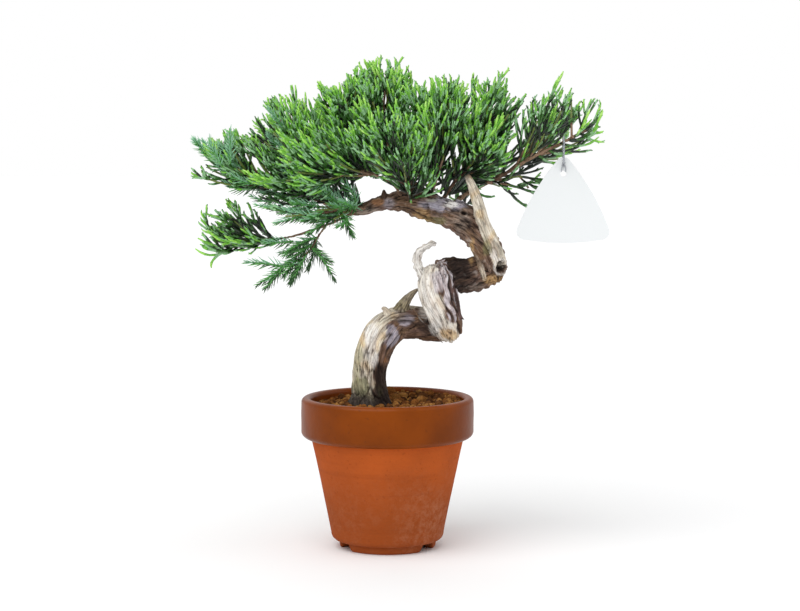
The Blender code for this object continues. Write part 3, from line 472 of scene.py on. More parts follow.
def smooth_run(stations, steps):
    """(x, y, z, radius) rows on a smooth curve through stations."""
    knots = np.array(stations, float)
    ends = np.vstack([2 * knots[0] - knots[1], knots, 2 * knots[-1] - knots[-2]])
    t = np.arange(steps)[:, None] / steps
    parts = [0.5 * (2 * b + (c - a) * t + (2 * a - 5 * b + 4 * c - d) * t**2
                    + (3 * b - a - 3 * c + d) * t**3)
             for a, b, c, d in zip(ends, ends[1:], ends[2:], ends[3:])]
    return np.vstack(parts + [knots[-1:]])


def limb_frames(run):
    """Unit vectors along a run, towards the viewer's side of it and to its side."""
    onward = unit(np.gradient(run[:, :3], axis=0))
    front = unit(FRONT - (onward @ FRONT)[:, None] * onward)
    return onward, front, np.cross(onward, front)


def blocks(rows, size=2000):
    """Rows in groups that are small enough to compare with many others at once."""
    return np.array_split(rows, max(1, len(rows) // size))


def bent(root, middle, end, stations):
    """Curves from roots to ends, drawn towards middles."""
    t = np.linspace(0, 1, stations)[:, None]
    root, middle, end = (points[..., None, :] for points in (root, middle, end))
    return root * (1 - t)**2 + middle * 2 * t * (1 - t) + end * t**2


class Pile:
    """Closed shapes gathered as arrays, to become one mesh with a colour for each face."""

    def __init__(self):
        self.corners, self.faces, self.colours = [], [], []
        self.count = 0

    def add(self, corners, faces, colours):
        """Corners (n, 3), and faces (m, sides) that count from this shape's first corner."""
        self.corners.append(corners)
        self.faces.append(faces + self.count)
        self.colours.append(np.broadcast_to(colours, len(faces)))
        self.count += len(corners)

    def add_faces(self, faces, colours):
        """More faces on the corners that were added last."""
        self.faces.append(faces + self.count - len(self.corners[-1]))
        self.colours.append(np.broadcast_to(colours, len(faces)))

    def add_bars(self, paths, radii, sides, colours):
        """Closed bars of few sides along paths (n, k, 3), with radii and a colour for each stretch."""
        count, stations = paths.shape[:2]
        onward = unit(np.gradient(paths, axis=1))
        least = np.eye(3)[np.argmin(np.abs(onward).mean(axis=1), axis=1)][:, None, :]
        across = square_to(least, onward)
        other = np.cross(onward, across)
        round_it = np.arange(sides)
        angles = tau * round_it[:, None] / sides
        ring = across[:, :, None] * np.cos(angles) + other[:, :, None] * np.sin(angles)
        corners = paths[:, :, None] + ring * radii[..., None, None]
        start = (np.arange(count) * stations * sides)[:, None]
        station = start[:, :, None] + np.arange(stations - 1)[:, None] * sides
        here, after = station + round_it, station + (round_it + 1) % sides
        walls = np.stack([here, after, after + sides, here + sides], axis=-1).reshape(-1, 4)
        colours = np.broadcast_to(colours, (count, stations - 1))
        self.add(corners.reshape(-1, 3), walls, np.repeat(colours.ravel(), sides))
        caps = np.vstack([start + round_it[::-1], start + (stations - 1) * sides + round_it])
        self.add_faces(caps, np.concatenate([colours[:, 0], colours[:, -1]]))

    def mesh(self, name):
        corners = np.vstack(self.corners) * MM + AXIS_ROW
        loops = np.concatenate([group.ravel() for group in self.faces]).astype(np.int32)
        sizes = np.concatenate([np.full(len(group), group.shape[1]) for group in self.faces])
        starts = np.concatenate([[0], np.cumsum(sizes)[:-1]])
        made = bpy.data.meshes.new(name)
        made.vertices.add(len(corners))
        made.vertices.foreach_set("co", corners.astype(np.float32).ravel())
        made.loops.add(len(loops))
        made.loops.foreach_set("vertex_index", loops)
        made.polygons.add(len(sizes))
        made.polygons.foreach_set("loop_start", starts.astype(np.int32))
        made.polygons.foreach_set("material_index", np.concatenate(self.colours).astype(np.int32))
        made.polygons.foreach_set("use_smooth", np.full(len(sizes), True))
        made.update(calc_edges=True)
        made.validate()
        return made


# Materials

class Socket:
    """A shader socket: arithmetic on it adds Math nodes, and node() adds any other node."""

    def __init__(self, tree, socket=None):
        self.tree, self.socket = tree, socket

    def node(self, kind, settings=None, sockets=None, output=0):
        made = self.tree.nodes.new(kind)
        for key, value in (settings or {}).items():
            setattr(made, key, value)
        for key, value in (sockets or {}).items():
            if isinstance(value, Socket):
                self.tree.links.new(value.socket, made.inputs[key])
            else:
                made.inputs[key].default_value = value
        return Socket(self.tree, made.outputs[output])

    def math(self, operation, first, second):
        return self.node("ShaderNodeMath", {"operation": operation}, {0: first, 1: second})

    def __add__(self, other):
        return self.math("ADD", self, other)

    __radd__ = __add__

    def __mul__(self, other):
        return self.math("MULTIPLY", self, other)

    __rmul__ = __mul__

    def noise(self, vector, scale, detail):
        return self.node("ShaderNodeTexNoise", None, {"Vector": vector, "Scale": scale, "Detail": detail})

    def mask(self, value, low, high):
        """0 where a value is low and 1 where it is high, with a smooth step between."""
        return self.node("ShaderNodeMapRange", {"interpolation_type": "SMOOTHSTEP"},
                         {"Value": value, "From Min": low, "From Max": high})

    def mix(self, factor, first, second, blend="MIX"):
        return self.node("ShaderNodeMix", {"data_type": "RGBA", "blend_type": blend},
                         {0: factor, 6: first, 7: second}, output=2)

    def stain(self, body, pattern, low, high, strength, colour, blend="MIX"):
        """The body's colour, brought towards another where a pattern goes from low to high."""
        return self.mix(self.mask(pattern, low, high) * strength, body, colour, blend)

    def bump(self, height, distance, strength=1.0):
        return self.node("ShaderNodeBump", None,
                         {"Height": height, "Distance": distance * MM, "Strength": strength})

    def place(self):
        return self.node("ShaderNodeTexCoord", output="Object")

    def part(self, place, axis):
        return self.node("ShaderNodeSeparateXYZ", None, {0: place}, output=axis)


def material(name, surface, *colours):
    """A material whose shader's sockets are what surface(nodes, *colours) returns."""
    made = bpy.data.materials.new(name)
    made.use_nodes = True
    made.node_tree.nodes.clear()
    nodes = Socket(made.node_tree)
    shader = nodes.node("ShaderNodeBsdfPrincipled", None, surface(nodes, *colours))
    output = made.node_tree.nodes.new("ShaderNodeOutputMaterial")
    made.node_tree.links.new(shader.socket, output.inputs["Surface"])
    return made


def clay_surface(nodes, colour):
    """Clay with turning marks, darker and dusty towards its foot, and dustier on its right."""
    place = nodes.place()
    cloud, fine = nodes.noise(place, 30.0, 5.0), nodes.noise(place, 420.0, 3.0)
    stretched = nodes.node("ShaderNodeMapping", None, {"Vector": place, "Scale": (9.0, 9.0, 260.0)})
    turned = nodes.noise(stretched, 1.0, 4.0)
    veil = nodes.node("ShaderNodeTexNoise", None,
                      {"Vector": place, "Scale": 160.0, "Detail": 12.0, "Roughness": 0.82})
    low = nodes.mask(nodes.part(place, "Z"), 0.08, 0.02)
    right = nodes.mask(nodes.part(place, "X"), -0.03, 0.04)
    body = nodes.mix(low, srgb(184, 88, 36), colour)
    body = nodes.stain(body, cloud, 0.3, 0.7, 0.4, srgb(140, 66, 30))
    body = nodes.stain(body, turned, 0.5, 0.75, 0.2, srgb(126, 58, 26))
    body = nodes.stain(body, fine, 0.60, 0.72, 0.3, srgb(120, 54, 26))
    dust = nodes.mask(veil, 0.40, 0.68) * nodes.mask(cloud, 0.25, 0.6) * low
    body = nodes.mix(dust * (0.1 + 0.3 * right), body, srgb(206, 152, 120))
    return {"Base Color": body, "Roughness": 0.72 + 0.2 * fine, "Specular IOR Level": 0.08,
            "Normal": nodes.bump(fine + turned, 0.3)}


def glaze_surface(nodes, colour):
    """Brown glaze, with a thin clear coat on its lip."""
    place = nodes.place()
    cloud, speck = nodes.noise(place, 18.0, 4.0), nodes.noise(place, 300.0, 3.0)
    body = nodes.mix(nodes.mask(cloud, 0.36, 0.68), colour, srgb(134, 62, 4))
    body = nodes.stain(body, speck, 0.62, 0.75, 0.4, srgb(92, 44, 16))
    return {"Base Color": body, "Roughness": 0.26 + 0.2 * cloud, "Specular IOR Level": 0.1,
            "Coat Weight": 0.12 * nodes.mask(nodes.part(place, "Z"), 0.1105, 0.1125),
            "Normal": nodes.bump(speck, 0.12)}


def soil_surface(nodes, dark, light):
    place = nodes.place()
    cloud, grit = nodes.noise(place, 150.0, 3.0), nodes.noise(place, 1100.0, 3.0)
    body = nodes.mix(nodes.mask(cloud, 0.35, 0.65), dark, light)
    body = nodes.stain(body, grit, 0.5, 0.7, 0.6, srgb(56, 34, 18))
    return {"Base Color": body, "Roughness": 0.95, "Specular IOR Level": 0.05,
            "Normal": nodes.bump(grit, 1.0)}


def trunk_surface(nodes):
    """The painted tint, which holds painted shade and highlights as well as the wood's colours, streaked and
    flaked along the grain that the mesh carries.
    """
    tint = nodes.node("ShaderNodeAttribute", {"attribute_name": "tint"}, output="Color")
    grain = nodes.node("ShaderNodeAttribute", {"attribute_name": "grain"}, output="Vector")
    fibre, streak = nodes.noise(grain, 1.3, 4.0), nodes.noise(grain, 0.42, 3.0)
    flake = nodes.noise(nodes.place(), 380.0, 4.0)
    body = nodes.stain(tint, streak, 0.46, 0.64, 0.35, srgb(166, 138, 116), "MULTIPLY")
    body = nodes.stain(body, fibre, 0.5, 0.66, 0.5, srgb(84, 62, 50), "MULTIPLY")
    body = nodes.stain(body, flake, 0.56, 0.7, 0.45, srgb(92, 72, 62), "MULTIPLY")
    body = nodes.stain(body, fibre, 0.48, 0.32, 0.6, srgb(244, 238, 230), "OVERLAY")
    return {"Base Color": body, "Roughness": 0.55 + 0.3 * fibre, "Specular IOR Level": 0.22,
            "Normal": nodes.bump(fibre + 0.6 * flake, 0.6, 0.9)}


def bough_surface(nodes):
    place = nodes.place()
    cloud, flake = nodes.noise(place, 90.0, 3.0), nodes.noise(place, 520.0, 4.0)
    body = nodes.mix(nodes.mask(cloud, 0.4, 0.6), srgb(106, 82, 68), srgb(156, 128, 106))
    body = nodes.stain(body, flake, 0.54, 0.68, 0.8, srgb(60, 42, 34))
    return {"Base Color": body, "Roughness": 0.85, "Specular IOR Level": 0.1,
            "Normal": nodes.bump(flake, 0.5)}


def shoot_surface(nodes, colour):
    """Foliage in one colour, with the fine darker flecks of its scales."""
    scales = nodes.noise(nodes.place(), 1400.0, 1.0)
    dark = tuple(part * 0.74 for part in colour[:3]) + (1.0,)
    return {"Base Color": nodes.mix(nodes.mask(scales, 0.38, 0.60), colour, dark),
            "Roughness": 0.34, "Specular IOR Level": 0.6}


def tag_surface(nodes):
    grain = nodes.noise(nodes.place(), 700.0, 2.0)
    return {"Base Color": srgb(235, 238, 239), "Roughness": 0.34 + 0.08 * grain,
            "Normal": nodes.bump(grain, 0.02)}


def wire_surface(nodes):
    drawn = nodes.noise(nodes.place(), 1500.0, 2.0)
    return {"Base Color": srgb(186, 189, 196), "Metallic": 1.0, "Roughness": 0.3 + 0.2 * drawn}


# Pieces

def linked(name, data):
    """A new object in the scene."""
    made = bpy.data.objects.new(name, data)
    bpy.context.scene.collection.objects.link(made)
    return made


def add_piece(name, mesh, materials, nodes=()):
    piece = linked(name, mesh)
    for finish in materials:
        mesh.materials.append(finish)
    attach(piece, BODY)
    if nodes:
        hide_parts(*nodes)


def mesh_from(name, bm):
    """A mesh in the frame's metres from a bmesh in millimetres, with its faces pointing out."""
    bmesh.ops.recalc_face_normals(bm, faces=bm.faces)
    bmesh.ops.transform(bm, matrix=TO_FRAME, verts=bm.verts)
    mesh = bpy.data.meshes.new(name)
    bm.to_mesh(mesh)
    bm.free()
    mesh.shade_smooth()
    mesh.set_sharp_from_angle(angle=0.9)
    return mesh


def with_modifiers(mesh, *kinds):
    """The mesh that modifiers make of this one: each kind is (type, settings)."""
    piece = linked("shaping", mesh)
    for kind, settings in kinds:
        modifier = piece.modifiers.new(kind.lower(), kind)
        for key, value in settings.items():
            setattr(modifier, key, value)
    bpy.context.view_layer.update()
    graph = bpy.context.evaluated_depsgraph_get()
    made = bpy.data.meshes.new_from_object(piece.evaluated_get(graph))
    bpy.data.objects.remove(piece)
    return made


def spun(profile, steps):
    """A bmesh from a profile of (radius, height), which is closed where it doesn't start on the axis."""
    bm = bmesh.new()
    corners = [bm.verts.new((radius, 0, height)) for radius, height in profile]
    edges = [bm.edges.new(pair) for pair in zip(corners, corners[1:])]
    if profile[0][0] > 0:
        edges.append(bm.edges.new((corners[-1], corners[0])))
    bmesh.ops.spin(bm, geom=corners + edges, axis=(0, 0, 1), cent=(0, 0, 0), angle=tau, steps=steps,
                   use_merge=True)
    bmesh.ops.remove_doubles(bm, verts=bm.verts, dist=0.01)
    return bm


def arc(centre, size, start, end, steps):
    """Points on an ellipse's arc, angles in turns."""
    angles = [tau * (start + (end - start) * i / steps) for i in range(steps + 1)]
    return [(centre[0] + size[0] * cos(angle), centre[1] + size[1] * sin(angle)) for angle in angles]


def pot_profile():
    """The pot's section, as in the model but rounder: down its outer side, under its foot, up inside."""
    inner = RIM_RADIUS - RIM_WALL
    step = RIM_RADIUS - BODY_TOP[0] - 0.6
    lip = arc(((RIM_RADIUS + inner) / 2, POT_HEIGHT - LIP_DROP), (RIM_WALL / 2, LIP_DROP), 0.5, 0.0, 18)
    band = [(RIM_RADIUS + 0.15, POT_HEIGHT - 12), (RIM_RADIUS, BAND_FOOT + 6)]
    shoulder = arc((RIM_RADIUS - step, BAND_FOOT), (step, BAND_FOOT - BODY_TOP[1]), 0.0, -0.25, 9)
    wall = [(BODY_TOP[0] + (BODY_FOOT[0] - BODY_TOP[0]) * t - 0.5 * sin(pi * t) * 0.6,
             BODY_TOP[1] + (BODY_FOOT[1] - BODY_TOP[1]) * t) for t in np.linspace(0, 1, 15)]
    heel = arc((HEEL_RADIUS, BODY_FOOT[1]), (BODY_FOOT[0] - HEEL_RADIUS, BODY_FOOT[1] - UNDERSIDE),
               0.0, -0.25, 7)[1:]
    foot = [(FOOT_OUTER + 0.8, UNDERSIDE), (FOOT_OUTER + 0.7, 4.5), (FOOT_OUTER + 0.5, 2.5),
            (FOOT_OUTER + 0.2, 0.8), (FOOT_OUTER - 0.6, 0.0), (FOOT_INNER + 0.6, 0.0),
            (FOOT_INNER - 0.2, 0.8), (FOOT_INNER - 0.5, 2.5), (FOOT_INNER - 0.8, UNDERSIDE)]
    inside = [(DRAIN_RADIUS, UNDERSIDE), (DRAIN_RADIUS, FLOOR_TOP), (INNER_FLOOR_RADIUS - 3, FLOOR_TOP),
              (INNER_FLOOR_RADIUS, FLOOR_TOP + 3), INNER_WAIST, (inner - 0.3, BAND_FOOT + 6)]
    return lip + band + shoulder + wall + heel + foot + inside


def make_pot(settings):
    bm = spun(pot_profile(), settings.segments)
    for corner in bm.verts:
        flat = Vector((corner.co.x, corner.co.y))
        if corner.co.z < UNDERSIDE - 0.5 and flat.length > DRAIN_RADIUS + 1:
            angle = np.degrees(np.arctan2(flat.y, flat.x))
            off = min(abs((angle - NOTCH_TURN - 360 * i / NOTCH_COUNT + 180) % 360 - 180)
                      for i in range(NOTCH_COUNT))
            run = radians(off) * flat.length
            share = 1 - float(ease(NOTCH_WIDTH / 2, NOTCH_WIDTH / 2 + NOTCH_SLOPE, run))
            corner.co.z += (UNDERSIDE - 0.4 - corner.co.z) * share
        else:
            swell = 0.35 * noise.noise(corner.co / 38) + 0.1 * noise.noise(corner.co / 9)
            if flat.length > RIM_RADIUS - RIM_WALL - 0.5 or corner.co.z < BAND_FOOT:
                corner.co.xy = flat * (1 + swell / max(flat.length, 20))
    mesh = mesh_from("pot_thrown", bm)
    glazed = (BODY_TOP[1] + 0.4) * MM
    for face in mesh.polygons:
        face.material_index = 1 if face.center.z > glazed else 0
    finishes = [material("bare clay", clay_surface, settings.clay),
                material("brown glaze", glaze_surface, settings.glaze)]
    add_piece("pot_thrown", mesh, finishes, ["pot"])


def mound(x, y):
    """How far the soil stands over its level: flat round the trunk and higher on the right."""
    out = np.clip((np.hypot(x, y) - SEAT_RADIUS) / MOUND_RUN, 0, 1)
    return out * (MOUND_HEIGHT * (0.45 + 0.55 * (x * 0.9 + y * 0.45) / RIM_RADIUS) - 1.6)


def rough_balls(pile, rng, spots, sizes, subdivisions, colours):
    """Uneven lumps at spots, joined as arrays from one ball."""
    bm = bmesh.new()
    bmesh.ops.create_icosphere(bm, subdivisions=subdivisions, radius=1.0)
    ball = np.array([corner.co for corner in bm.verts])
    faces = np.array([[corner.index for corner in face.verts] for face in bm.faces])
    bm.free()
    for spot, size, colour in zip(spots, sizes, colours):
        turn = np.linalg.qr(rng.normal(size=(3, 3)))[0]
        if np.linalg.det(turn) < 0:
            turn[:, 0] *= -1
        bumps = 1 + 0.32 * noise_at(ball, 0.7, spot[0]) + 0.05 * rng.normal(size=len(ball))
        squeeze = rng.uniform(0.7, 1.15, 3)
        pile.add((ball * bumps[:, None] * squeeze) @ turn.T * size + spot, faces, colour)


def lump_spots(settings, wall, rng):
    """Places and sizes of clay lumps that clear the trunk and each other, the large ones on the right."""
    placed, sizes = [], []
    for _ in range(LUMP_TRIES):
        if len(placed) == settings.lumps:
            break
        angle, out = rng.uniform(0, tau), (wall - 2) * sqrt(rng.uniform())
        spot = np.array([out * cos(angle), out * sin(angle)])
        on_right = 0.5 + 0.5 * (spot[0] * 0.9 + spot[1] * 0.3) / wall
        large = len(placed) < settings.large
        size = rng.uniform(*(LARGE_LUMPS if large else SMALL_LUMPS))
        if large and on_right < 0.55:
            continue
        if np.hypot(*(spot - TRUNK_FOOT)) < TRUNK_ROOM + size * 0.3 or out + size > wall - 0.3:
            continue
        if any(np.hypot(*(spot - other)) < (size + near) * 0.9 for other, near in zip(placed, sizes)):
            continue
        placed.append(spot)
        sizes.append(size)
    return np.array(placed), np.array(sizes)


def make_soil(settings):
    wall, bottom = RIM_RADIUS - RIM_WALL - GAP - 0.4, BAND_FOOT + 8
    rings = [(radius, SOIL_TOP - 0.4) for radius in np.linspace(0, wall, SOIL_RINGS)]
    bm = spun(rings + [(wall, bottom), (0, bottom)], SOIL_STEPS)
    for corner in bm.verts:
        if corner.co.z > SOIL_TOP - 2:
            rough = 1.1 * noise.noise(corner.co / 5) + 0.6 * noise.noise(corner.co / 2)
            corner.co.z += float(mound(corner.co.x, corner.co.y)) + rough - 1.4
    finishes = [material(f"soil_{i + 1}", soil_surface, srgb(*dark), srgb(*light))
                for i, (dark, light) in enumerate(SOIL_TONES)]
    # The bed under the lumps takes the last, near-black tone: painted shade in the gaps between lumps, as
    # well as dark grit
    add_piece("soil_bed", mesh_from("soil_bed", bm), [finishes[3]], ["soil"])
    rng = np.random.default_rng(settings.seed)
    pile = Pile()
    placed, sizes = lump_spots(settings, wall, rng)
    heights = SOIL_TOP + mound(*placed.T) + sizes * rng.uniform(0.0, 0.45, len(sizes)) - 0.4
    rough_balls(pile, rng, np.column_stack([placed, heights]), sizes, 2,
                rng.choice([0, 0, 1, 1, 2], len(sizes)))
    grains = settings.grains
    angle, out = rng.uniform(0, tau, grains), (wall - 1.5) * np.sqrt(rng.uniform(0, 1, grains))
    flat = np.column_stack([out * np.cos(angle), out * np.sin(angle)])
    sizes = rng.uniform(*GRAINS, grains)
    heights = SOIL_TOP + mound(*flat.T) + rng.uniform(-0.8, 1.6, grains) - 0.6
    rough_balls(pile, rng, np.column_stack([flat, heights]), sizes, 1, rng.choice([0, 1, 2, 2, 3], grains))
    add_piece("soil_lumps", pile.mesh("soil_lumps"), finishes)


# Trunk

def strands_of(name, run):
    """The twisted strands that a limb is made of, as (path, radii), with a core along its middle."""
    _, front, side = limb_frames(run)
    count, turns, offset, width = STRANDS.get(name, (0, 0, 0, 0))
    strands = [(run[:, :3], run[:, 3] * (0.86 if count else 0.94))]
    share = np.linspace(0, 1, len(run))
    for i in range(count):
        angle = (tau * (i / count + turns * share))[:, None]
        aside = (front * np.cos(angle) + side * np.sin(angle)) * run[:, 3:] * offset
        strands.append((run[:, :3] + aside, run[:, 3] * width))
    return strands


class LimbMap:
    """Where points lie on the limbs: along them, round them and how thick they are there."""

    def __init__(self, runs):
        self.names = list(runs)
        self.samples = np.vstack(list(runs.values()))
        parts = [limb_frames(run) for run in runs.values()]
        self.onward, self.front, self.side = (np.vstack([part[i] for part in parts]) for i in range(3))
        lengths = [np.concatenate([[0], np.cumsum(np.linalg.norm(np.diff(run[:, :3], axis=0), axis=1))])
                   for run in runs.values()]
        self.along = np.concatenate(lengths)
        self.whole = np.concatenate([np.full(len(part), part[-1]) for part in lengths])
        self.limb = np.concatenate([np.full(len(part), i) for i, part in enumerate(lengths)])

    def locate(self, points):
        """For each point its limb, how far along that is, as a share too, its turn and the limb's radius."""
        nearest = []
        for block in blocks(points, 4000):
            away = np.linalg.norm(block[:, None] - self.samples[None, :, :3], axis=2)
            nearest.append(np.argmin(away / (self.samples[:, 3] + 1.0), axis=1))
        at = np.concatenate(nearest)
        away = points - self.samples[at, :3]
        along = self.along[at] + (away * self.onward[at]).sum(axis=1)
        turn = np.arctan2((away * self.side[at]).sum(axis=1), (away * self.front[at]).sum(axis=1))
        return self.limb[at], along, along / self.whole[at], turn, self.samples[at, 3]


def zone(turn, middle, half, soft=0.25):
    """1 where a turn round the limb is within half of a middle, fading over soft."""
    off = np.abs((turn - middle + pi) % tau - pi)
    return 1 - ease(half - soft, half + soft, off)


def trunk_tints(where, points, relief):
    """The wood's colour at each point, from where it lies on its limb and how its relief runs, with painted
    shade in its sunk cracks, grooves and hollows, and painted highlights on its raised parts and in some
    patches.
    """
    limb, share, turn, ridge, fine, wander, crack, facing, bands = where
    wood = np.tile(WOOD["bark"], (len(points), 1))

    def paint(colour, mask):
        wood[:] = wood * (1 - mask[:, None]) + WOOD[colour] * mask[:, None]

    def on(*names):
        return np.isin(limb, names).astype(float)

    bumpy = 0.5 + 0.5 * np.clip(ridge * 1.8, -1, 1)
    paint("purple", 0.5 * bumpy)
    paint("grey", on("trunk_upper", "trunk_top_limb") * 0.35 * ease(-0.1, 0.4, fine))
    lower, twist = on("trunk_lower"), on("trunk_twist")
    edge = 0.16 - 1.6 * ease(0.5, 0.82, share) + 0.5 * wander
    bare = lower * (1 - ease(-0.08, 0.08, turn - edge)) * (1 - ease(2.2, 2.6, np.abs(turn)))
    edge = ease(0.5, 0.0, share) + 0.4 * wander
    bare += twist * (1 - ease(-0.12, 0.12, turn - edge)) * (1 - ease(2.4, 2.8, np.abs(turn)))
    bare = np.clip(bare, 0, 1)
    paint("cream", bare * 0.96)
    paint("ochre", bare * ease(0.15, 0.6, wander) * 0.45)
    paint("white", twist * bare * 0.45)
    # Ribs on the twist: partly their own colour, partly a painted highlight in lilac on their crests and
    # painted shade in purple and dark in their grooves
    paint("lilac", ease(0.0, 0.35, bands) * 0.9)
    paint("purple", ease(-0.1, -0.4, bands) * 0.8)
    paint("dark", ease(-0.5, -0.9, bands) * 0.8)
    paint("dark", on("trunk_elbow") * ease(0.8, 0.35, share) * 0.75)
    spike = on("deadwood_spike")
    paint("cream", spike * 0.95)
    paint("ochre", spike * ease(0.0, 0.5, wander) * 0.5)
    paint("dark", spike * ease(0.93, 1.0, share) * 0.8)
    paint("white", on("deadwood_stub_white") * 0.9)
    stub = on("deadwood_stub_lower")
    paint("olive", stub * 0.6)
    paint("grey", stub * ease(0.2, 0.7, share) * 0.5)
    for name, colour, strength in (("strip_edge", "cream", 0.6), ("nub_on_shoulder", "cream", 0.7),
                                   ("nub_on_limb", "dark", 0.6), ("coil_flap", "purple", 0.8)):
        paint(colour, on(name) * strength)
    for colour, x, z, half_x, half_z, strength in PATCHES:
        away = np.hypot((points[:, 0] - x) / half_x, (points[:, 2] - z) / half_z)
        away += 0.45 * wander + 0.3 * fine
        paint(colour, (1 - ease(0.6, 1.1, away)) * facing * strength)
    paint("mould", ease(128.0, 114.0, points[:, 2]) * ease(-0.3, 0.3, wander) * 0.7)
    paint("dark", ease(124.0, 112.0, points[:, 2] + 5 * wander) * 0.95)
    # Painted shade in the sunk cracks and the low parts of the relief, less on bare wood, and a painted
    # highlight on its raised parts
    paint("dark", crack * (0.9 - 0.35 * spike - 0.25 * bare))
    paint("dark", ease(-0.4, -2.0, relief) * (0.8 - 0.4 * bare))
    paint("white", ease(0.8, 2.2, relief) * 0.18)
    return wood * (1.06 + 0.3 * np.clip(fine, -1, 1))[:, None]


def vertex_rows(mesh, field):
    """A vector of each of the mesh's vertices, as rows."""
    rows = np.empty(len(mesh.vertices) * 3, np.float32)
    mesh.vertices.foreach_get(field, rows)
    return rows.reshape(-1, 3)


def make_trunk(settings):
    limbs = TRUNK | DEADWOOD | NUBS
    pile = Pile()
    for name, stations in limbs.items():
        for path, radii in strands_of(name, smooth_run(stations, STRAND_STEPS)):
            pile.add_bars(path[None], radii[None], STRAND_SIDES, 0)
    rough = pile.mesh("trunk")
    mesh = with_modifiers(
        rough,
        ("REMESH", {"mode": "VOXEL", "voxel_size": settings.voxel * MM}),
        ("SMOOTH", {"factor": 0.5, "iterations": 5}),
    )
    bpy.data.meshes.remove(rough)
    mesh.name = "trunk"
    points, normals = (vertex_rows(mesh, "co") - AXIS_ROW) / MM, vertex_rows(mesh, "normal")
    chart = LimbMap({name: smooth_run(stations, CHART_STEPS) for name, stations in limbs.items()})
    limb, along, share, turn, radius = chart.locate(points)
    names = np.array(chart.names)[limb]
    twisted = turn + settings.twist * along
    round_it = np.maximum(radius, 3.0)
    grain = np.column_stack([round_it * np.cos(twisted), round_it * np.sin(twisted),
                             along * settings.stretch + 40.0 * limb])
    lobes, ridge = noise_at(grain, 7.5, 3.1), noise_at(grain, 3.0, 11.7)
    fine, wander = noise_at(grain, 1.3, 23.3), noise_at(points, 9.0, 5.9)
    crack = np.clip(1 - np.abs(noise_at(grain, 5.2, 31.9)) / 0.10, 0, 1)
    crack *= ease(-0.3, 0.0, noise_at(points, 14.0, 44.0))
    slit = np.clip(1 - np.abs(noise_at(grain, 2.8, 67.2)) / 0.12, 0, 1)
    crack = np.maximum(crack, slit * ease(0.05, 0.3, noise_at(points, 10.0, 71.0)))
    flake, knobs = noise_at(points, 3.2, 51.0), np.abs(noise_at(points, 5.5, 61.0))
    slim = ease(2.0, 9.0, radius)
    plated = np.isin(names, ["trunk_top_limb", "trunk_elbow", "trunk_upper"]) * slim
    bands = np.sin(11.0 * turn + 4.0 * wander + 3.0 * share) * (names == "trunk_twist")
    bands *= zone(turn, 1.3, 1.0) * ease(0.2, 0.4, share)
    relief = slim * (1.3 * lobes + 1.1 * ridge - 1.7 * crack) + 0.4 * fine + 0.9 * bands
    relief += (names == "deadwood_stub_white") * 1.5 * noise_at(points, 2.8, 81.0)
    relief += plated * (flake + 2.6 * knobs - 0.6)
    hole_away = np.hypot(points[:, 0] - HOLE[0], (points[:, 2] - HOLE[1]) * 0.85)
    facing = ease(0.1, 0.5, -normals[:, 1])
    facing = facing * np.isin(names, ["trunk_upper", "trunk_elbow", "deadwood_spike"])
    hole = (1 - ease(2.2, 4.0, hole_away + 0.8 * fine)) * facing
    rim = np.exp(-((hole_away - 4.8 + 0.8 * wander) / 0.8) ** 2) * facing
    relief += 0.9 * rim - 5.0 * hole
    front = ease(-0.2, 0.2, -normals[:, 1])
    knot_away = np.hypot(points[:, 0] - KNOT[0], points[:, 2] - KNOT[1])
    knot = np.exp(-((knot_away - KNOT[2]) / 0.8) ** 2) * front
    pith = np.exp(-(knot_away / 1.5) ** 2) * front
    relief += 1.2 * knot - 1.4 * pith
    tints = trunk_tints((names, share, turn, ridge, fine, wander, crack, front, bands), points, relief)
    # The hollow's inside is painted dark: painted shade
    for mask, colour in ((rim * 0.7, "white"), (hole, "dark"), (knot * 0.5, "grey"), (pith * 0.8, "dark")):
        tints = tints * (1 - mask[:, None]) + WOOD[colour] * mask[:, None]
    moved = (points + normals * relief[:, None]) * MM + AXIS_ROW
    mesh.vertices.foreach_set("co", moved.astype(np.float32).ravel())
    tints = np.column_stack([tints.clip(0, 1), np.ones(len(tints))])
    for name, kind, field, rows in (("tint", "FLOAT_COLOR", "color", tints),
                                    ("grain", "FLOAT_VECTOR", "vector", grain)):
        made = mesh.attributes.new(name, kind, "POINT")
        made.data.foreach_set(field, rows.astype(np.float32).ravel())
    mesh.shade_smooth()
    mesh.update()
    add_piece("trunk", mesh, [material("weathered wood", trunk_surface)], [*TRUNK, *DEADWOOD])


def make_boughs(settings):
    """Bare knobbly limbs, thinner than in the model."""
    pile = Pile()
    rng = np.random.default_rng(settings.seed)
    for stations in BOUGHS.values():
        run = smooth_run(stations, 12) * [1, 1, 1, BOUGH_SCALE]
        knobs = 1 + 0.13 * rng.normal(size=len(run)).clip(-1.5, 1.5)
        path = run[:, :3] + 0.12 * rng.normal(size=(len(run), 3))
        pile.add_bars(path[None], (run[:, 3] * knobs)[None], BOUGH_SIDES, 0)
    add_piece("boughs", pile.mesh("boughs"), [material("bough bark", bough_surface)], list(BOUGHS))


# Crown

@dataclass
class Shoots:
    """Shoots of one order: their curves and, for each, its mass, how far out it may reach, the
    normal of the fan that it branches in, and a brightness that its spray shares."""
    paths: np.ndarray
    owner: np.ndarray
    limit: np.ndarray
    fan: np.ndarray
    tone: np.ndarray

    def some(self, chosen):
        return Shoots(*[values[chosen] for values in vars(self).values()])


def each_mass(field):
    """One value of every mass, as an array."""
    return np.array([getattr(mass, field) for mass in MASSES.values()], float)


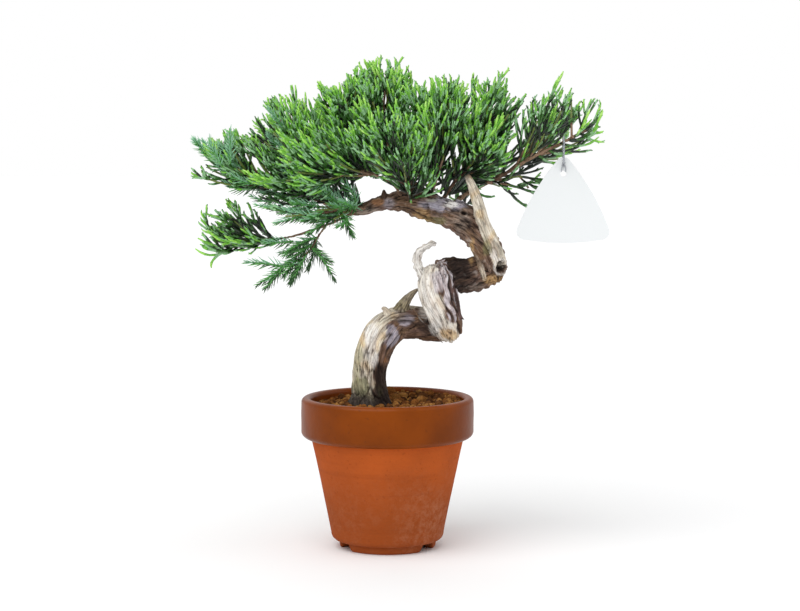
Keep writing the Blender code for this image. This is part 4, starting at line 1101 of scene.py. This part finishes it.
class Spaces:
    """Where shoots may grow: the masses and leafy boughs, run together, clear of limbs and tag."""

    def __init__(self):
        self.centres = each_mass("centre")
        self.reaches = each_mass("reach") + SPACE_GROWTH
        self.leans = each_mass("lean")
        self.vigour = each_mass("vigour")
        self.leafy = np.vstack([leafy_run(name, 5)[:, :3] for name in BOUGHS])
        self.samples = np.vstack([smooth_run(stations, 8) for stations in (TRUNK | DEADWOOD).values()])

    def depth(self, points):
        """Roughly how far points lie outside the leafy spaces: negative inside them."""
        away = (points[..., None, :] - self.centres) / self.reaches
        masses = (np.linalg.norm(away, axis=-1) - 1) * self.reaches.mean(axis=1)
        boughs = np.linalg.norm(points[..., None, :] - self.leafy, axis=-1) - LEAFY_ROOM
        spaces = np.concatenate([masses, boughs], axis=-1)
        return -SPACE_BLEND * np.log(np.exp(-spaces / SPACE_BLEND).sum(axis=-1))

    def free(self, paths, limit, radius):
        """For each station of each path, whether it is in the leafy spaces and touches nothing."""
        good = np.empty(paths.shape[:2], bool)
        for block in blocks(np.arange(len(paths))):
            points = paths[block]
            fine = self.depth(points) < limit[block, None]
            away = np.linalg.norm(points[..., None, :] - self.samples[:, :3], axis=-1)
            fine &= (away > self.samples[:, 3] + radius + LIMB_MARGIN).all(axis=-1)
            x, y, z = np.moveaxis(points, -1, 0)
            at_tag = (np.abs(y - TAG_Y) < TAG_ROOM) & (z < TAG_TOP + TAG_ROOM)
            fine &= ~(at_tag & (np.abs(x - TAG_MIDDLE_X) < TAG_HALF_WIDTH + TAG_ROOM))
            before_wire = (np.abs(x - TAG_MIDDLE_X) < WIRE_ROOM_ASIDE) & (y < TAG_Y + WIRE_ROOM_BEHIND)
            fine &= ~(before_wire & (z < WIRE_ROOM_TOP) & (z > TAG_TOP - TAG_HOLE_DROP))
            good[block] = fine
        return good

    def crosses_sky(self, paths):
        """Whether each path crosses one of the openings."""
        x, z = paths[..., 0], paths[..., 2]
        crossed = np.zeros(len(paths), bool)
        for middle_x, middle_z, half_width, half_height in SKY:
            away = ((x - middle_x) / half_width)**2 + ((z - middle_z) / half_height)**2
            crossed |= (away < 1).any(axis=1)
        return crossed


def leafy_run(bough, steps):
    """The stretch of a bough that shoots stand on."""
    run = smooth_run(BOUGHS[bough], steps)
    return run[round(LEAFY_FROM[bough] * (len(run) - 1)):]


def curves(root, aim, drift, length, stations):
    """Curves that set off along aim and turn towards drift."""
    length = length[:, None]
    return bent(root, root + aim * length * 0.5, root + (aim * 0.42 + drift * 0.58) * length, stations)


def spread(count):
    """Directions laid evenly round a ball, from its top to well below its middle."""
    index = np.arange(count)
    height = 1 - 1.62 * (index + 0.5) / count
    flat = np.sqrt(1 - height * height)
    turn = index * GOLDEN_TURN
    return np.column_stack([flat * np.cos(turn), flat * np.sin(turn), height])


def stem_paths():
    """Each mass's stem, on from its limb's tip past its centre: paths and radii."""
    paths, radii = [], []
    for mass in MASSES.values():
        run = smooth_run((TRUNK | BOUGHS)[mass.carrier], 4)
        tip, thick = run[-1, :3], run[-1, 3] * (BOUGH_SCALE if mass.carrier in BOUGHS else 1)
        heading = unit(run[-1, :3] - run[-2, :3])
        end = mass.centre + unit(mass.centre - tip) * min(mass.reach) * STEM_PAST_CENTRE
        end = np.array(mass.stem_end or end)
        bow = tip + heading * np.linalg.norm(end - tip) * STEM_BOW
        paths.append(bent(tip, bow, end, TWIG_STATIONS))
        radii.append(np.linspace(0, 1, TWIG_STATIONS) * (STEM_END_RADIUS - thick) + thick)
    return np.array(paths), np.array(radii)


def on_paths(paths, share):
    """Points at these shares of paths, and the way that each path goes there."""
    stations = paths.shape[1]
    at = share * (stations - 1)
    slot = at.astype(int).clip(0, stations - 2)
    row = np.arange(len(paths)).reshape(-1, *[1] * (share.ndim - 1))
    before, after = paths[row, slot], paths[row, slot + 1]
    return before + (after - before) * (at - slot)[..., None], unit(after - before)


def make_shoots(paths, owner, settings, rng):
    """Shoots of the first order on these paths, each with its own reach, fan and tone."""
    count = len(paths)
    onward = unit(paths[:, -1] - paths[:, 0])
    lumpy = noise_at(paths[:, -1], 17.0, 7.7) * settings.lumpiness
    limit = lumpy + rng.uniform(*settings.ragged, count)
    fan = square_to(rng.normal(size=(count, 3)), onward)
    return Shoots(paths, owner, limit, fan, rng.normal(0, 1, count))


def carrier_run(carrier, stem):
    """The leafy stretch of a mass's bough and then its stem, as stations evenly laid."""
    whole = stem
    if carrier in BOUGHS:
        whole = np.vstack([leafy_run(carrier, 6)[:-1, :3], stem])
    pick = np.linspace(0, len(whole) - 1, 2 * TWIG_STATIONS)
    return np.column_stack([np.interp(pick, np.arange(len(whole)), whole[:, axis]) for axis in range(3)])


def main_twigs(spaces, runs, settings, rng):
    """Twigs to places spread through each mass, each from where it can sweep up along the mass's lean."""
    paths, owners = [], []
    for i, mass in enumerate(MASSES.values()):
        count = round(mass.twigs * settings.twig_share)
        aim = spread(count)
        if mass.lift < 0:
            aim[:, 2] *= -1
        target = mass.centre + aim * mass.reach * rng.uniform(*TWIG_REACH, (count, 1))
        way = target[:, None] - runs[i]
        far = np.linalg.norm(way, axis=2)
        along = (way * unit(spaces.leans[i])).sum(axis=2) / far
        cost = 1.4 * (1 - along) + np.abs(far - TWIG_LENGTH) / 50 + rng.uniform(0, 0.3, far.shape)
        root = runs[i][np.argmin(cost, axis=1)]
        length = np.linalg.norm(target - root, axis=1)
        middle = root + (target - root) * 0.55 - UP * mass.lift * (length * 0.2)[:, None]
        paths.append(bent(root, middle, target, TWIG_STATIONS))
        owners.append(np.full(count, i))
    twigs = make_shoots(np.concatenate(paths), np.concatenate(owners), settings, rng)
    clear = spaces.free(twigs.paths[:, 1:], twigs.limit * 0, 1.2)[:, :3].all(axis=1)
    return twigs.some(clear & ~spaces.crosses_sky(twigs.paths))


def bough_carriers(runs, settings, rng):
    """The runs of boughs and stems as carriers of shoots, each with several fans."""
    owner = np.repeat(np.arange(len(runs)), settings.bough_fans)
    return make_shoots(np.repeat(runs, settings.bough_fans, axis=0), owner, settings, rng)


def placed_shoots(groups, settings, rng, reach=0.0, tone=0.0):
    """Shoots that stand singly, by mass: (root, tip), or (root, middle, tip) for a bowed one."""
    names = list(MASSES)
    owner = np.array([names.index(mass) for mass, rows in groups.items() for _ in rows])
    rows = np.array([row for rows in groups.values() for row in rows], float)
    root, tip = rows[:, 0], rows[:, -1]
    middle = rows[:, 1] if rows.shape[1] > 2 else (root + tip) / 2
    middle = 2 * middle - (root + tip) / 2 + rng.normal(0, 1.2, root.shape)
    made = make_shoots(bent(root, middle, tip, 8), owner, settings, rng)
    made.limit += reach
    made.tone += tone
    return made


@dataclass
class Order:
    """How one order of shoots stands on the last: places along it, angle, least and most length, pulls
    towards its mass's lean and onwards, scatter, stations, the least share of it that fits, its radius,
    and how unevenly it ends."""
    places: tuple
    angle: float
    length: tuple
    lean: float
    onward: float
    scatter: float
    stations: int
    least: float
    radius: float
    ragged: float


BOUGH_CORDS = Order(tuple(np.linspace(0.02, 0.98, 12)), 0.80, (24.0, 42.0), 1.6, 0.0, 0.2, 8, 0.3, 0.9, 5.0)
TWIG_CORDS = Order((0.26, 0.50, 0.74, 0.94), 0.50, (24.0, 38.0), 1.2, 0.2, 0.14, 8, 0.35, 0.9, 5.0)
LEADERS = Order((0.999,), 0.12, (22.0, 34.0), 0.7, 0.3, 0.1, 8, 0.35, 0.9, 7.0)
SIDES = Order((0.22, 0.38, 0.54, 0.70, 0.84), 0.43, (13.0, 23.0), 0.35, 0.25, 0.08, 5, 0.45, 0.8, 3.0)
FORKS = Order((0.68, 0.87), 0.50, (2.6, 4.4), 0.1, 0.1, 0.12, 2, 0.6, 0.7, 1.0)


def side_shoots(parents, order, spaces, rng):
    """Shoots to alternate sides of each parent's fan, cut short where their space ends."""
    count, places = len(parents.paths), np.array(order.places)
    share = (places + rng.uniform(-PLACE_JITTER, PLACE_JITTER, (count, len(places)))).clip(0, 0.999)
    root, onward = (rows.reshape(-1, 3) for rows in on_paths(parents.paths, share))
    fan = square_to(np.repeat(parents.fan, len(places), axis=0), onward)
    swing = np.tile(np.where(np.arange(len(places)) % 2, 1.0, -1.0), count)
    side = np.cross(fan, onward) * swing[:, None]
    angle = (order.angle * rng.uniform(0.75, 1.25, len(root)))[:, None]
    aim = unit(onward * np.cos(angle) + side * np.sin(angle) + rng.normal(0, order.scatter, root.shape))
    owner = np.repeat(parents.owner, len(places))
    drift = unit(aim + order.lean * spaces.leans[owner] + order.onward * onward)
    taper = 1 - 0.4 * np.tile(places, count)
    length = rng.uniform(*order.length, len(root)) * taper * spaces.vigour[owner]
    limit = np.repeat(parents.limit, len(places)) + rng.uniform(-1, 1, len(root)) * order.ragged
    trial = curves(root, aim, drift, length, order.stations + 1)
    good = spaces.free(trial[:, 1:], limit, order.radius)
    reached = np.where(good.all(axis=1), order.stations, np.argmin(good, axis=1)) / order.stations
    whole = curves(root, aim, drift, length * reached, order.stations)
    made = Shoots(whole, owner, limit, square_to(fan + rng.normal(0, 0.25, fan.shape), aim),
                  np.repeat(parents.tone, len(places)) + rng.normal(0, 0.35, len(root)))
    return made.some((reached >= order.least) & ~spaces.crosses_sky(whole))


def joined(*groups):
    """Groups of shoots of the same order as one."""
    return Shoots(*[np.concatenate(values) for values in zip(*[vars(group).values() for group in groups])])


def colours_of(shoots, spaces, rng, lift):
    """A green for each stretch of each shoot: painted shade deep in the crown, low in each mass and at each
    shoot's root, painted light out at the crown's skin, high in each mass and towards the tips, and brighter
    in some sprays.
    """
    middles = (shoots.paths[:, 1:] + shoots.paths[:, :-1]) / 2
    depth = np.concatenate([spaces.depth(block) for block in blocks(middles)])
    height = middles[..., 2] - spaces.centres[shoots.owner, 2][:, None]
    height /= spaces.reaches[shoots.owner, 2][:, None]
    light = (GREEN_MIDDLE + depth * GREEN_SHADE_BY_DEPTH + GREEN_LIGHT_BY_HEIGHT * height
             + GREEN_BY_TONE * shoots.tone[:, None] + lift)
    light += rng.normal(0, GREEN_SCATTER, (len(light), 1))
    along = np.linspace(*GREEN_SHADE_ALONG, light.shape[1])
    return np.clip(np.round(light + along), 0, len(GREENS) - 1).astype(int)


def cord_radii(shoots, base, tip, rng):
    """Knobbly radii: a little swollen at each pair of scales and rounded off at the tip."""
    stations = shoots.paths.shape[1]
    knobs = 1 + 0.10 * np.where(np.arange(stations) % 2, 1, -1)
    radii = (base + (tip - base) * np.linspace(0, 1, stations)) * knobs
    radii[-1] *= 0.45
    return radii * rng.uniform(0.88, 1.12, (len(shoots.paths), 1))


def needles_on(cords, spaces, rng, rows):
    """Needles in rows of whorls round each cord, leaning forward: paths and the way each sets off."""
    share = np.linspace(0.06, 0.995, rows)[None, :, None] * np.ones((len(cords.paths), 1, NEEDLE_TURNS))
    root, onward = on_paths(cords.paths, share)
    across = square_to(cords.fan[:, None, None] + 0 * onward, onward)
    angle = tau * np.arange(NEEDLE_TURNS) / NEEDLE_TURNS + np.arange(rows)[:, None] * 1.05
    angle = angle[None] + rng.normal(0, 0.2, share.shape)
    side = across * np.cos(angle)[..., None] + np.cross(onward, across) * np.sin(angle)[..., None]
    lean = 0.95 - 0.55 * share + rng.normal(0, 0.08, share.shape)
    aim = unit(onward * np.cos(lean)[..., None] + side * np.sin(lean)[..., None])
    length = rng.uniform(*NEEDLE_LENGTH, share.shape) * (1 - 0.4 * share**3)
    root, aim = root.reshape(-1, 3), aim.reshape(-1, 3)
    paths = curves(root, aim, unit(aim + 0.25 * onward.reshape(-1, 3)), length.ravel(), 4)
    limit = np.repeat(cords.limit, rows * NEEDLE_TURNS) + NEEDLE_REACH
    good = spaces.free(paths[:, 1:], limit, 0.4).all(axis=1)
    return paths[good], aim[good]


def add_needles(cords, spaces, settings, rng):
    """Needle sprays, with painted light on the needles that face up and painted shade on those that point
    down.
    """
    pile = Pile()
    paths, aims = needles_on(cords, spaces, rng, settings.needle_rows)
    shade = np.where(aims[:, 2] + rng.normal(0, 0.3, len(aims)) > 0.15, 0, 1)
    shade = np.where(aims[:, 2] + rng.normal(0, 0.2, len(aims)) < -0.45, 2, shade)
    pile.add_bars(paths, NEEDLE_RADII * np.ones((len(paths), 1)), 3, shade[:, None])
    pile.add_bars(cords.paths, cord_radii(cords, 0.8, 0.6, rng), 4, 1)
    finishes = [material(name, shoot_surface, colour) for name, colour in NEEDLES.items()]
    add_piece("needles", pile.mesh("needles"), finishes)


def add_twigs(stems, stem_radii, twigs):
    """Stems in bark, and twigs in bark that turns green."""
    pile = Pile()
    pile.add_bars(stems, stem_radii, 6, 0)
    radii = np.linspace(0, 1, TWIG_STATIONS) * (TWIG_RADII[1] - TWIG_RADII[0]) + TWIG_RADII[0]
    pile.add_bars(twigs.paths, radii * np.ones((len(twigs.paths), 1)), 5, np.array([0, 0, 1, 1, 1]))
    finishes = [material("twig bark", bough_surface),
                material("green twig", shoot_surface, srgb(112, 128, 52))]
    add_piece("twigs", pile.mesh("twigs"), finishes)


def make_crown(settings):
    rng = np.random.default_rng(settings.seed)
    spaces = Spaces()
    stems, stem_radii = stem_paths()
    runs = np.array([carrier_run(mass.carrier, stem) for mass, stem in zip(MASSES.values(), stems)])
    twigs = main_twigs(spaces, runs, settings, rng)
    carriers = bough_carriers(runs, settings, rng)
    cords = joined(side_shoots(twigs, TWIG_CORDS, spaces, rng), side_shoots(twigs, LEADERS, spaces, rng),
                   side_shoots(carriers, BOUGH_CORDS, spaces, rng))
    cords = cords.some(rng.uniform(0, 1, len(cords.owner)) < each_mass("kept")[cords.owner])
    needled = rng.uniform(0, 1, len(cords.owner)) < each_mass("juvenile")[cords.owner]
    plain = joined(cords.some(~needled), placed_shoots(SPRIGS, settings, rng, SPRIG_REACH, tone=-1.6))
    brushes = joined(cords.some(needled), placed_shoots(SPRAYS, settings, rng))
    sides = side_shoots(plain, SIDES, spaces, rng)
    # The long single shoots, many low on the crown, are made lighter: painted light standing in for light
    # from below
    plain = joined(plain, placed_shoots(LONG_SHOOTS, settings, rng, tone=0.6))
    tips = side_shoots(sides, FORKS, spaces, rng)
    cord_tips = side_shoots(plain, FORKS, spaces, rng)
    greens = [material(name, shoot_surface, colour) for name, colour in GREENS.items()]
    # Each order with its radii at root and tip, its bars' sides and how much lighter it is
    orders = ((plain, 0.96, 0.92, 4, -0.4), (sides, 0.82, 0.88, 4, 0.0), (tips, 0.76, 0.8, 3, 0.6),
              (cord_tips, 0.82, 0.84, 3, 0.6))
    drawn = [(shoots, cord_radii(shoots, base, tip, rng), edges, colours_of(shoots, spaces, rng, lift))
             for shoots, base, tip, edges, lift in orders]
    names = list(MASSES)
    for name, masses in SHOOT_PIECES.items():
        pile = Pile()
        for shoots, radii, edges, colours in drawn:
            mine = np.isin(shoots.owner, [names.index(mass) for mass in masses])
            pile.add_bars(shoots.paths[mine], radii[mine], edges, colours[mine])
        add_piece(name, pile.mesh(name), greens, masses)
    add_needles(brushes, spaces, settings, rng)
    add_twigs(stems, stem_radii, twigs)


# Hang tag

def tag_outline():
    """Points round a triangle with three round corners and slightly crowned sides, as (x, z)."""
    low = TAG_FOOT + TAG_CORNER
    centres = [Vector((0.0, TAG_TOP - TAG_CORNER)), Vector((TAG_CORNER - TAG_HALF_WIDTH, low)),
               Vector((TAG_HALF_WIDTH - TAG_CORNER, low))]
    outline = []
    for i, centre in enumerate(centres):
        before, after = centres[i - 1], centres[(i + 1) % 3]
        arriving, leaving = (centre - before).normalized(), (after - centre).normalized()
        first, last = Vector((arriving.y, -arriving.x)), Vector((leaving.y, -leaving.x))
        across = Vector((-first.y, first.x))
        swing = acos(first.dot(last))
        for step in range(15):
            part = swing * step / 14
            outline.append(centre + (first * cos(part) + across * sin(part)) * TAG_CORNER)
        for t in np.linspace(0, 1, 12)[1:-1]:
            outline.append(centre.lerp(after, t) + last * (TAG_CORNER + TAG_CROWN * 4 * t * (1 - t)))
    return outline


def make_tag():
    bm = bmesh.new()
    bm.faces.new([bm.verts.new((TAG_MIDDLE_X + p.x, TAG_Y, p.y)) for p in tag_outline()])
    thick = bmesh.ops.extrude_face_region(bm, geom=list(bm.faces))["geom"]
    moved = [item for item in thick if isinstance(item, bmesh.types.BMVert)]
    bmesh.ops.translate(bm, vec=(0, TAG_THICKNESS, 0), verts=moved)
    bmesh.ops.translate(bm, vec=(0, -TAG_THICKNESS / 2, 0), verts=bm.verts)
    rims = [edge for edge in bm.edges if abs(edge.verts[0].co.y - edge.verts[1].co.y) < 0.01]
    bmesh.ops.bevel(bm, geom=rims, offset=0.18, offset_type="OFFSET", segments=2, profile=0.5,
                    affect="EDGES", material=-1)
    plate = mesh_from("tag_plate", bm)
    bm = bmesh.new()
    hole = Matrix.Translation((TAG_MIDDLE_X, TAG_Y, TAG_TOP - TAG_HOLE_DROP))
    bmesh.ops.create_cone(bm, cap_ends=True, segments=40, radius1=TAG_HOLE_RADIUS, radius2=TAG_HOLE_RADIUS,
                          depth=6, matrix=hole @ Matrix.Rotation(pi / 2, 4, "X"))
    punch = linked("punch", mesh_from("punch", bm))
    mesh = with_modifiers(plate, ("BOOLEAN", {"operation": "DIFFERENCE", "object": punch}))
    bpy.data.objects.remove(punch)
    mesh.name = "tag_plate"
    mesh.shade_smooth()
    mesh.set_sharp_from_angle(angle=0.3)
    add_piece("tag_plate", mesh, [material("white plastic", tag_surface)], ["name_tag"])


def make_wire():
    """Two thin strands, twisted along the loop that hangs from the bough and opened at its foot."""
    half_low, half_high = LOOP_FOOT, (WIRE_HIGH.y - WIRE_LOW.y) / 2 / MM - 0.5
    bottom, top = WIRE_LOW.z / MM + 0.5 + half_low, WIRE_HIGH.z / MM - 0.5 - half_high
    loop = []
    for middle, half, start in ((bottom, half_low, -pi), (top, half_high, 0.0)):
        for i in range(LOOP_TURN_STEPS + 1):
            angle = start + pi * i / LOOP_TURN_STEPS
            loop.append((cos(angle) * half, middle + sin(angle) * half))
        if start < 0:
            loop += [(half_low + (half_high - half_low) * t, bottom + (top - bottom) * t)
                     for t in np.linspace(0, 1, LOOP_SIDE_STEPS)[1:-1]]
    loop += [(-half_high + (half_high - half_low) * t, top + (bottom - top) * t)
             for t in np.linspace(0, 1, LOOP_SIDE_STEPS)[1:]]
    line = np.array([(TAG_MIDDLE_X, TAG_Y + y, z) for y, z in loop])
    along = np.concatenate([[0], np.cumsum(np.linalg.norm(np.diff(line, axis=0), axis=1))])
    onward = unit(np.gradient(line, axis=0))
    sideways = np.array([1.0, 0.0, 0.0])
    other = np.cross(onward, sideways)
    turns = round(along[-1] / STRAND_PITCH)
    opened = 1 - ease(bottom + 1.0, bottom + 7.0, line[:, 2])
    offset = (STRAND_OFFSET + (EYE_OFFSET - STRAND_OFFSET) * opened)[:, None]
    pile = Pile()
    for sign in (1, -1):
        angle = (tau * turns * along / along[-1] * (1 - opened))[:, None]
        path = line + sign * offset * (sideways * np.cos(angle) + other * np.sin(angle))
        pile.add_bars(path[None], np.full((1, len(path)), STRAND_RADIUS), 8, 0)
    add_piece("wire_strands", pile.mesh("wire_strands"), [material("drawn wire", wire_surface)],
              ["tag_wire"])


# Stage

CAMERA_SIDE = 0.0094
CAMERA_BACK = 1.5
CAMERA_HEIGHT = 0.31
AIM_HEIGHT = 0.183
LENS = 90.0
SENSOR = 36.0
SUN_SPREAD = 60.0
SUNS = {"key": (0.42, 0.55, -0.9), "fill": (-0.7, 0.1, -0.5), "back": (0.1, -0.7, -0.6)}


def add_sun(name, way, power):
    """A soft light from far away, which shines along way."""
    lamp = bpy.data.lights.new(name, "SUN")
    lamp.energy = power
    lamp.angle = radians(SUN_SPREAD)
    linked(name, lamp).rotation_euler = Vector(way).to_track_quat("-Z", "Y").to_euler()


def floor_surface(nodes):
    cloud = nodes.noise(nodes.place(), 3.0, 2.0)
    return {"Base Color": nodes.mix(cloud, srgb(246, 246, 247), srgb(250, 250, 250)), "Roughness": 0.9}


def make_stage(settings):
    scene = bpy.context.scene
    scene.view_settings.view_transform = "Standard"
    bm = bmesh.new()
    bmesh.ops.create_circle(bm, cap_ends=True, segments=96, radius=settings.floor_radius)
    mesh = bpy.data.meshes.new("floor")
    bm.to_mesh(mesh)
    bm.free()
    floor = linked("floor", mesh)
    mesh.materials.append(material("pale floor", floor_surface))
    world = bpy.data.worlds.new("studio")
    scene.world = world
    world.use_nodes = True
    background = world.node_tree.nodes["Background"]
    background.inputs["Color"].default_value = (1.0, 1.0, 1.0, 1.0)
    light_path = world.node_tree.nodes.new("ShaderNodeLightPath")
    seen = Socket(world.node_tree, light_path.outputs["Is Camera Ray"])
    strength = settings.ambient + (1.0 - settings.ambient) * seen
    world.node_tree.links.new(strength.socket, background.inputs["Strength"])
    for name, way in SUNS.items():
        add_sun(name, way, getattr(settings, name))
    lens = bpy.data.cameras.new("camera")
    lens.lens = LENS
    lens.sensor_width = SENSOR
    camera = linked("camera", lens)
    camera.location = (AXIS.x + CAMERA_SIDE, AXIS.y - CAMERA_BACK, CAMERA_HEIGHT)
    aim = Vector((AXIS.x + CAMERA_SIDE, AXIS.y, AIM_HEIGHT)) - camera.location
    camera.rotation_euler = aim.to_track_quat("-Z", "Y").to_euler()
    scene.camera = camera


# Settings, operators and panel

class PotSettings(bpy.types.PropertyGroup):
    segments: IntProperty(name="Segments", description="Faces round the pot", default=168, min=24)
    clay: FloatVectorProperty(name="Clay", description="Bare clay below the band", subtype="COLOR", size=4,
                              default=srgb(150, 72, 30))
    glaze: FloatVectorProperty(name="Glaze", description="Glaze of the rim band", subtype="COLOR", size=4,
                               default=srgb(110, 50, 6))


class SoilSettings(bpy.types.PropertyGroup):
    large: IntProperty(name="Large lumps", description="Large clay lumps on the right", default=14)
    lumps: IntProperty(name="Lumps", description="Clay lumps in all", default=340, min=1)
    grains: IntProperty(name="Grains", description="Small grains between them", default=1100)
    seed: IntProperty(name="Seed", description="Layout of the lumps", default=11)


class TrunkSettings(bpy.types.PropertyGroup):
    voxel: FloatProperty(name="Voxel", description="Spacing of the bark's relief, in millimetres",
                         default=0.68, min=0.3)
    twist: FloatProperty(name="Twist", description="Turn of the grain, radians a millimetre", default=0.012)
    stretch: FloatProperty(name="Stretch", description="Length of the fibres, small is long", default=0.13)
    seed: IntProperty(name="Seed", description="Unevenness of the boughs", default=5)


class CrownSettings(bpy.types.PropertyGroup):
    twig_share: FloatProperty(name="Twigs", description="Twigs for each main twig of the model", default=1.1,
                              min=0.2)
    bough_fans: IntProperty(name="Bough fans", description="Fans of shoots round a bough", default=4, min=1)
    ragged: FloatVectorProperty(name="Ragged", size=2, default=(-11.0, -1.0),
                                description="Least and most reach past its mass, in millimetres")
    lumpiness: FloatProperty(name="Lumpiness", default=6.0,
                             description="How far tufts stand out of the crown, in millimetres")
    needle_rows: IntProperty(name="Needle rows", description="Whorls along a juvenile shoot", default=11)
    seed: IntProperty(name="Seed", description="Layout of the twigs", default=21)


class StageSettings(bpy.types.PropertyGroup):
    floor_radius: FloatProperty(name="Floor", description="Radius of the floor", default=14.0, unit="LENGTH")
    ambient: FloatProperty(name="Ambient", description="Light from the white surroundings", default=0.6)
    key: FloatProperty(name="Key", description="Strength of the main light from the upper left", default=1.7)
    fill: FloatProperty(name="Fill", description="Strength of the light from the right", default=0.35)
    back: FloatProperty(name="Back", description="Strength of the light from behind", default=0.35)


class BONSAI_OT_pot(bpy.types.Operator):
    """Turn the pot and lay its glaze"""
    bl_idname = "bonsai.pot"
    bl_label = "Make Pot"

    def execute(self, context):
        make_pot(context.scene.bonsai_pot)
        return {"FINISHED"}


class BONSAI_OT_soil(bpy.types.Operator):
    """Fill the pot with clay lumps and grit"""
    bl_idname = "bonsai.soil"
    bl_label = "Make Soil"

    def execute(self, context):
        make_soil(context.scene.bonsai_soil)
        return {"FINISHED"}


class BONSAI_OT_trunk(bpy.types.Operator):
    """Weld the twisted trunk and raise its bark and deadwood"""
    bl_idname = "bonsai.trunk"
    bl_label = "Make Trunk"

    def execute(self, context):
        make_trunk(context.scene.bonsai_trunk)
        return {"FINISHED"}


class BONSAI_OT_boughs(bpy.types.Operator):
    """Lay the boughs from the trunk to the masses"""
    bl_idname = "bonsai.boughs"
    bl_label = "Make Boughs"

    def execute(self, context):
        make_boughs(context.scene.bonsai_trunk)
        return {"FINISHED"}


class BONSAI_OT_crown(bpy.types.Operator):
    """Grow the twigs, scale shoots and needle sprays of every mass"""
    bl_idname = "bonsai.crown"
    bl_label = "Grow Crown"

    def execute(self, context):
        make_crown(context.scene.bonsai_crown)
        return {"FINISHED"}


class BONSAI_OT_tag(bpy.types.Operator):
    """Cut the bare hang tag and twist its wire"""
    bl_idname = "bonsai.tag"
    bl_label = "Make Tag and Wire"

    def execute(self, context):
        make_tag()
        make_wire()
        return {"FINISHED"}


class BONSAI_OT_stage(bpy.types.Operator):
    """Set the floor, the lights and the camera"""
    bl_idname = "bonsai.stage"
    bl_label = "Set Stage"

    def execute(self, context):
        make_stage(context.scene.bonsai_stage)
        return {"FINISHED"}


OPERATORS = (BONSAI_OT_pot, BONSAI_OT_soil, BONSAI_OT_trunk, BONSAI_OT_boughs, BONSAI_OT_crown,
             BONSAI_OT_tag, BONSAI_OT_stage)
SETTINGS = {"bonsai_pot": PotSettings, "bonsai_soil": SoilSettings, "bonsai_trunk": TrunkSettings,
            "bonsai_crown": CrownSettings, "bonsai_stage": StageSettings}


class BONSAI_PT_panel(bpy.types.Panel):
    """Sizes, colours and steps of the bonsai"""
    bl_idname = "BONSAI_PT_panel"
    bl_label = "Juniper Bonsai"
    bl_space_type = "VIEW_3D"
    bl_region_type = "UI"
    bl_category = "Bonsai"

    def draw(self, context):
        for name, group in SETTINGS.items():
            box = self.layout.box()
            for field in group.__annotations__:
                box.prop(getattr(context.scene, name), field)
        for operator in OPERATORS:
            self.layout.operator(operator.bl_idname)


CLASSES = (*SETTINGS.values(), *OPERATORS, BONSAI_PT_panel)


def register():
    for item in CLASSES:
        bpy.utils.register_class(item)
    for name, group in SETTINGS.items():
        setattr(bpy.types.Scene, name, PointerProperty(type=group))


def unregister():
    for name in SETTINGS:
        delattr(bpy.types.Scene, name)
    for item in reversed(CLASSES):
        bpy.utils.unregister_class(item)


def main():
    register()
    bpy.ops.bonsai.pot()
    bpy.ops.bonsai.soil()
    bpy.ops.bonsai.trunk()
    bpy.ops.bonsai.boughs()
    bpy.ops.bonsai.crown()
    bpy.ops.bonsai.tag()
    bpy.ops.bonsai.stage()


if __name__ == "__main__":
    main()
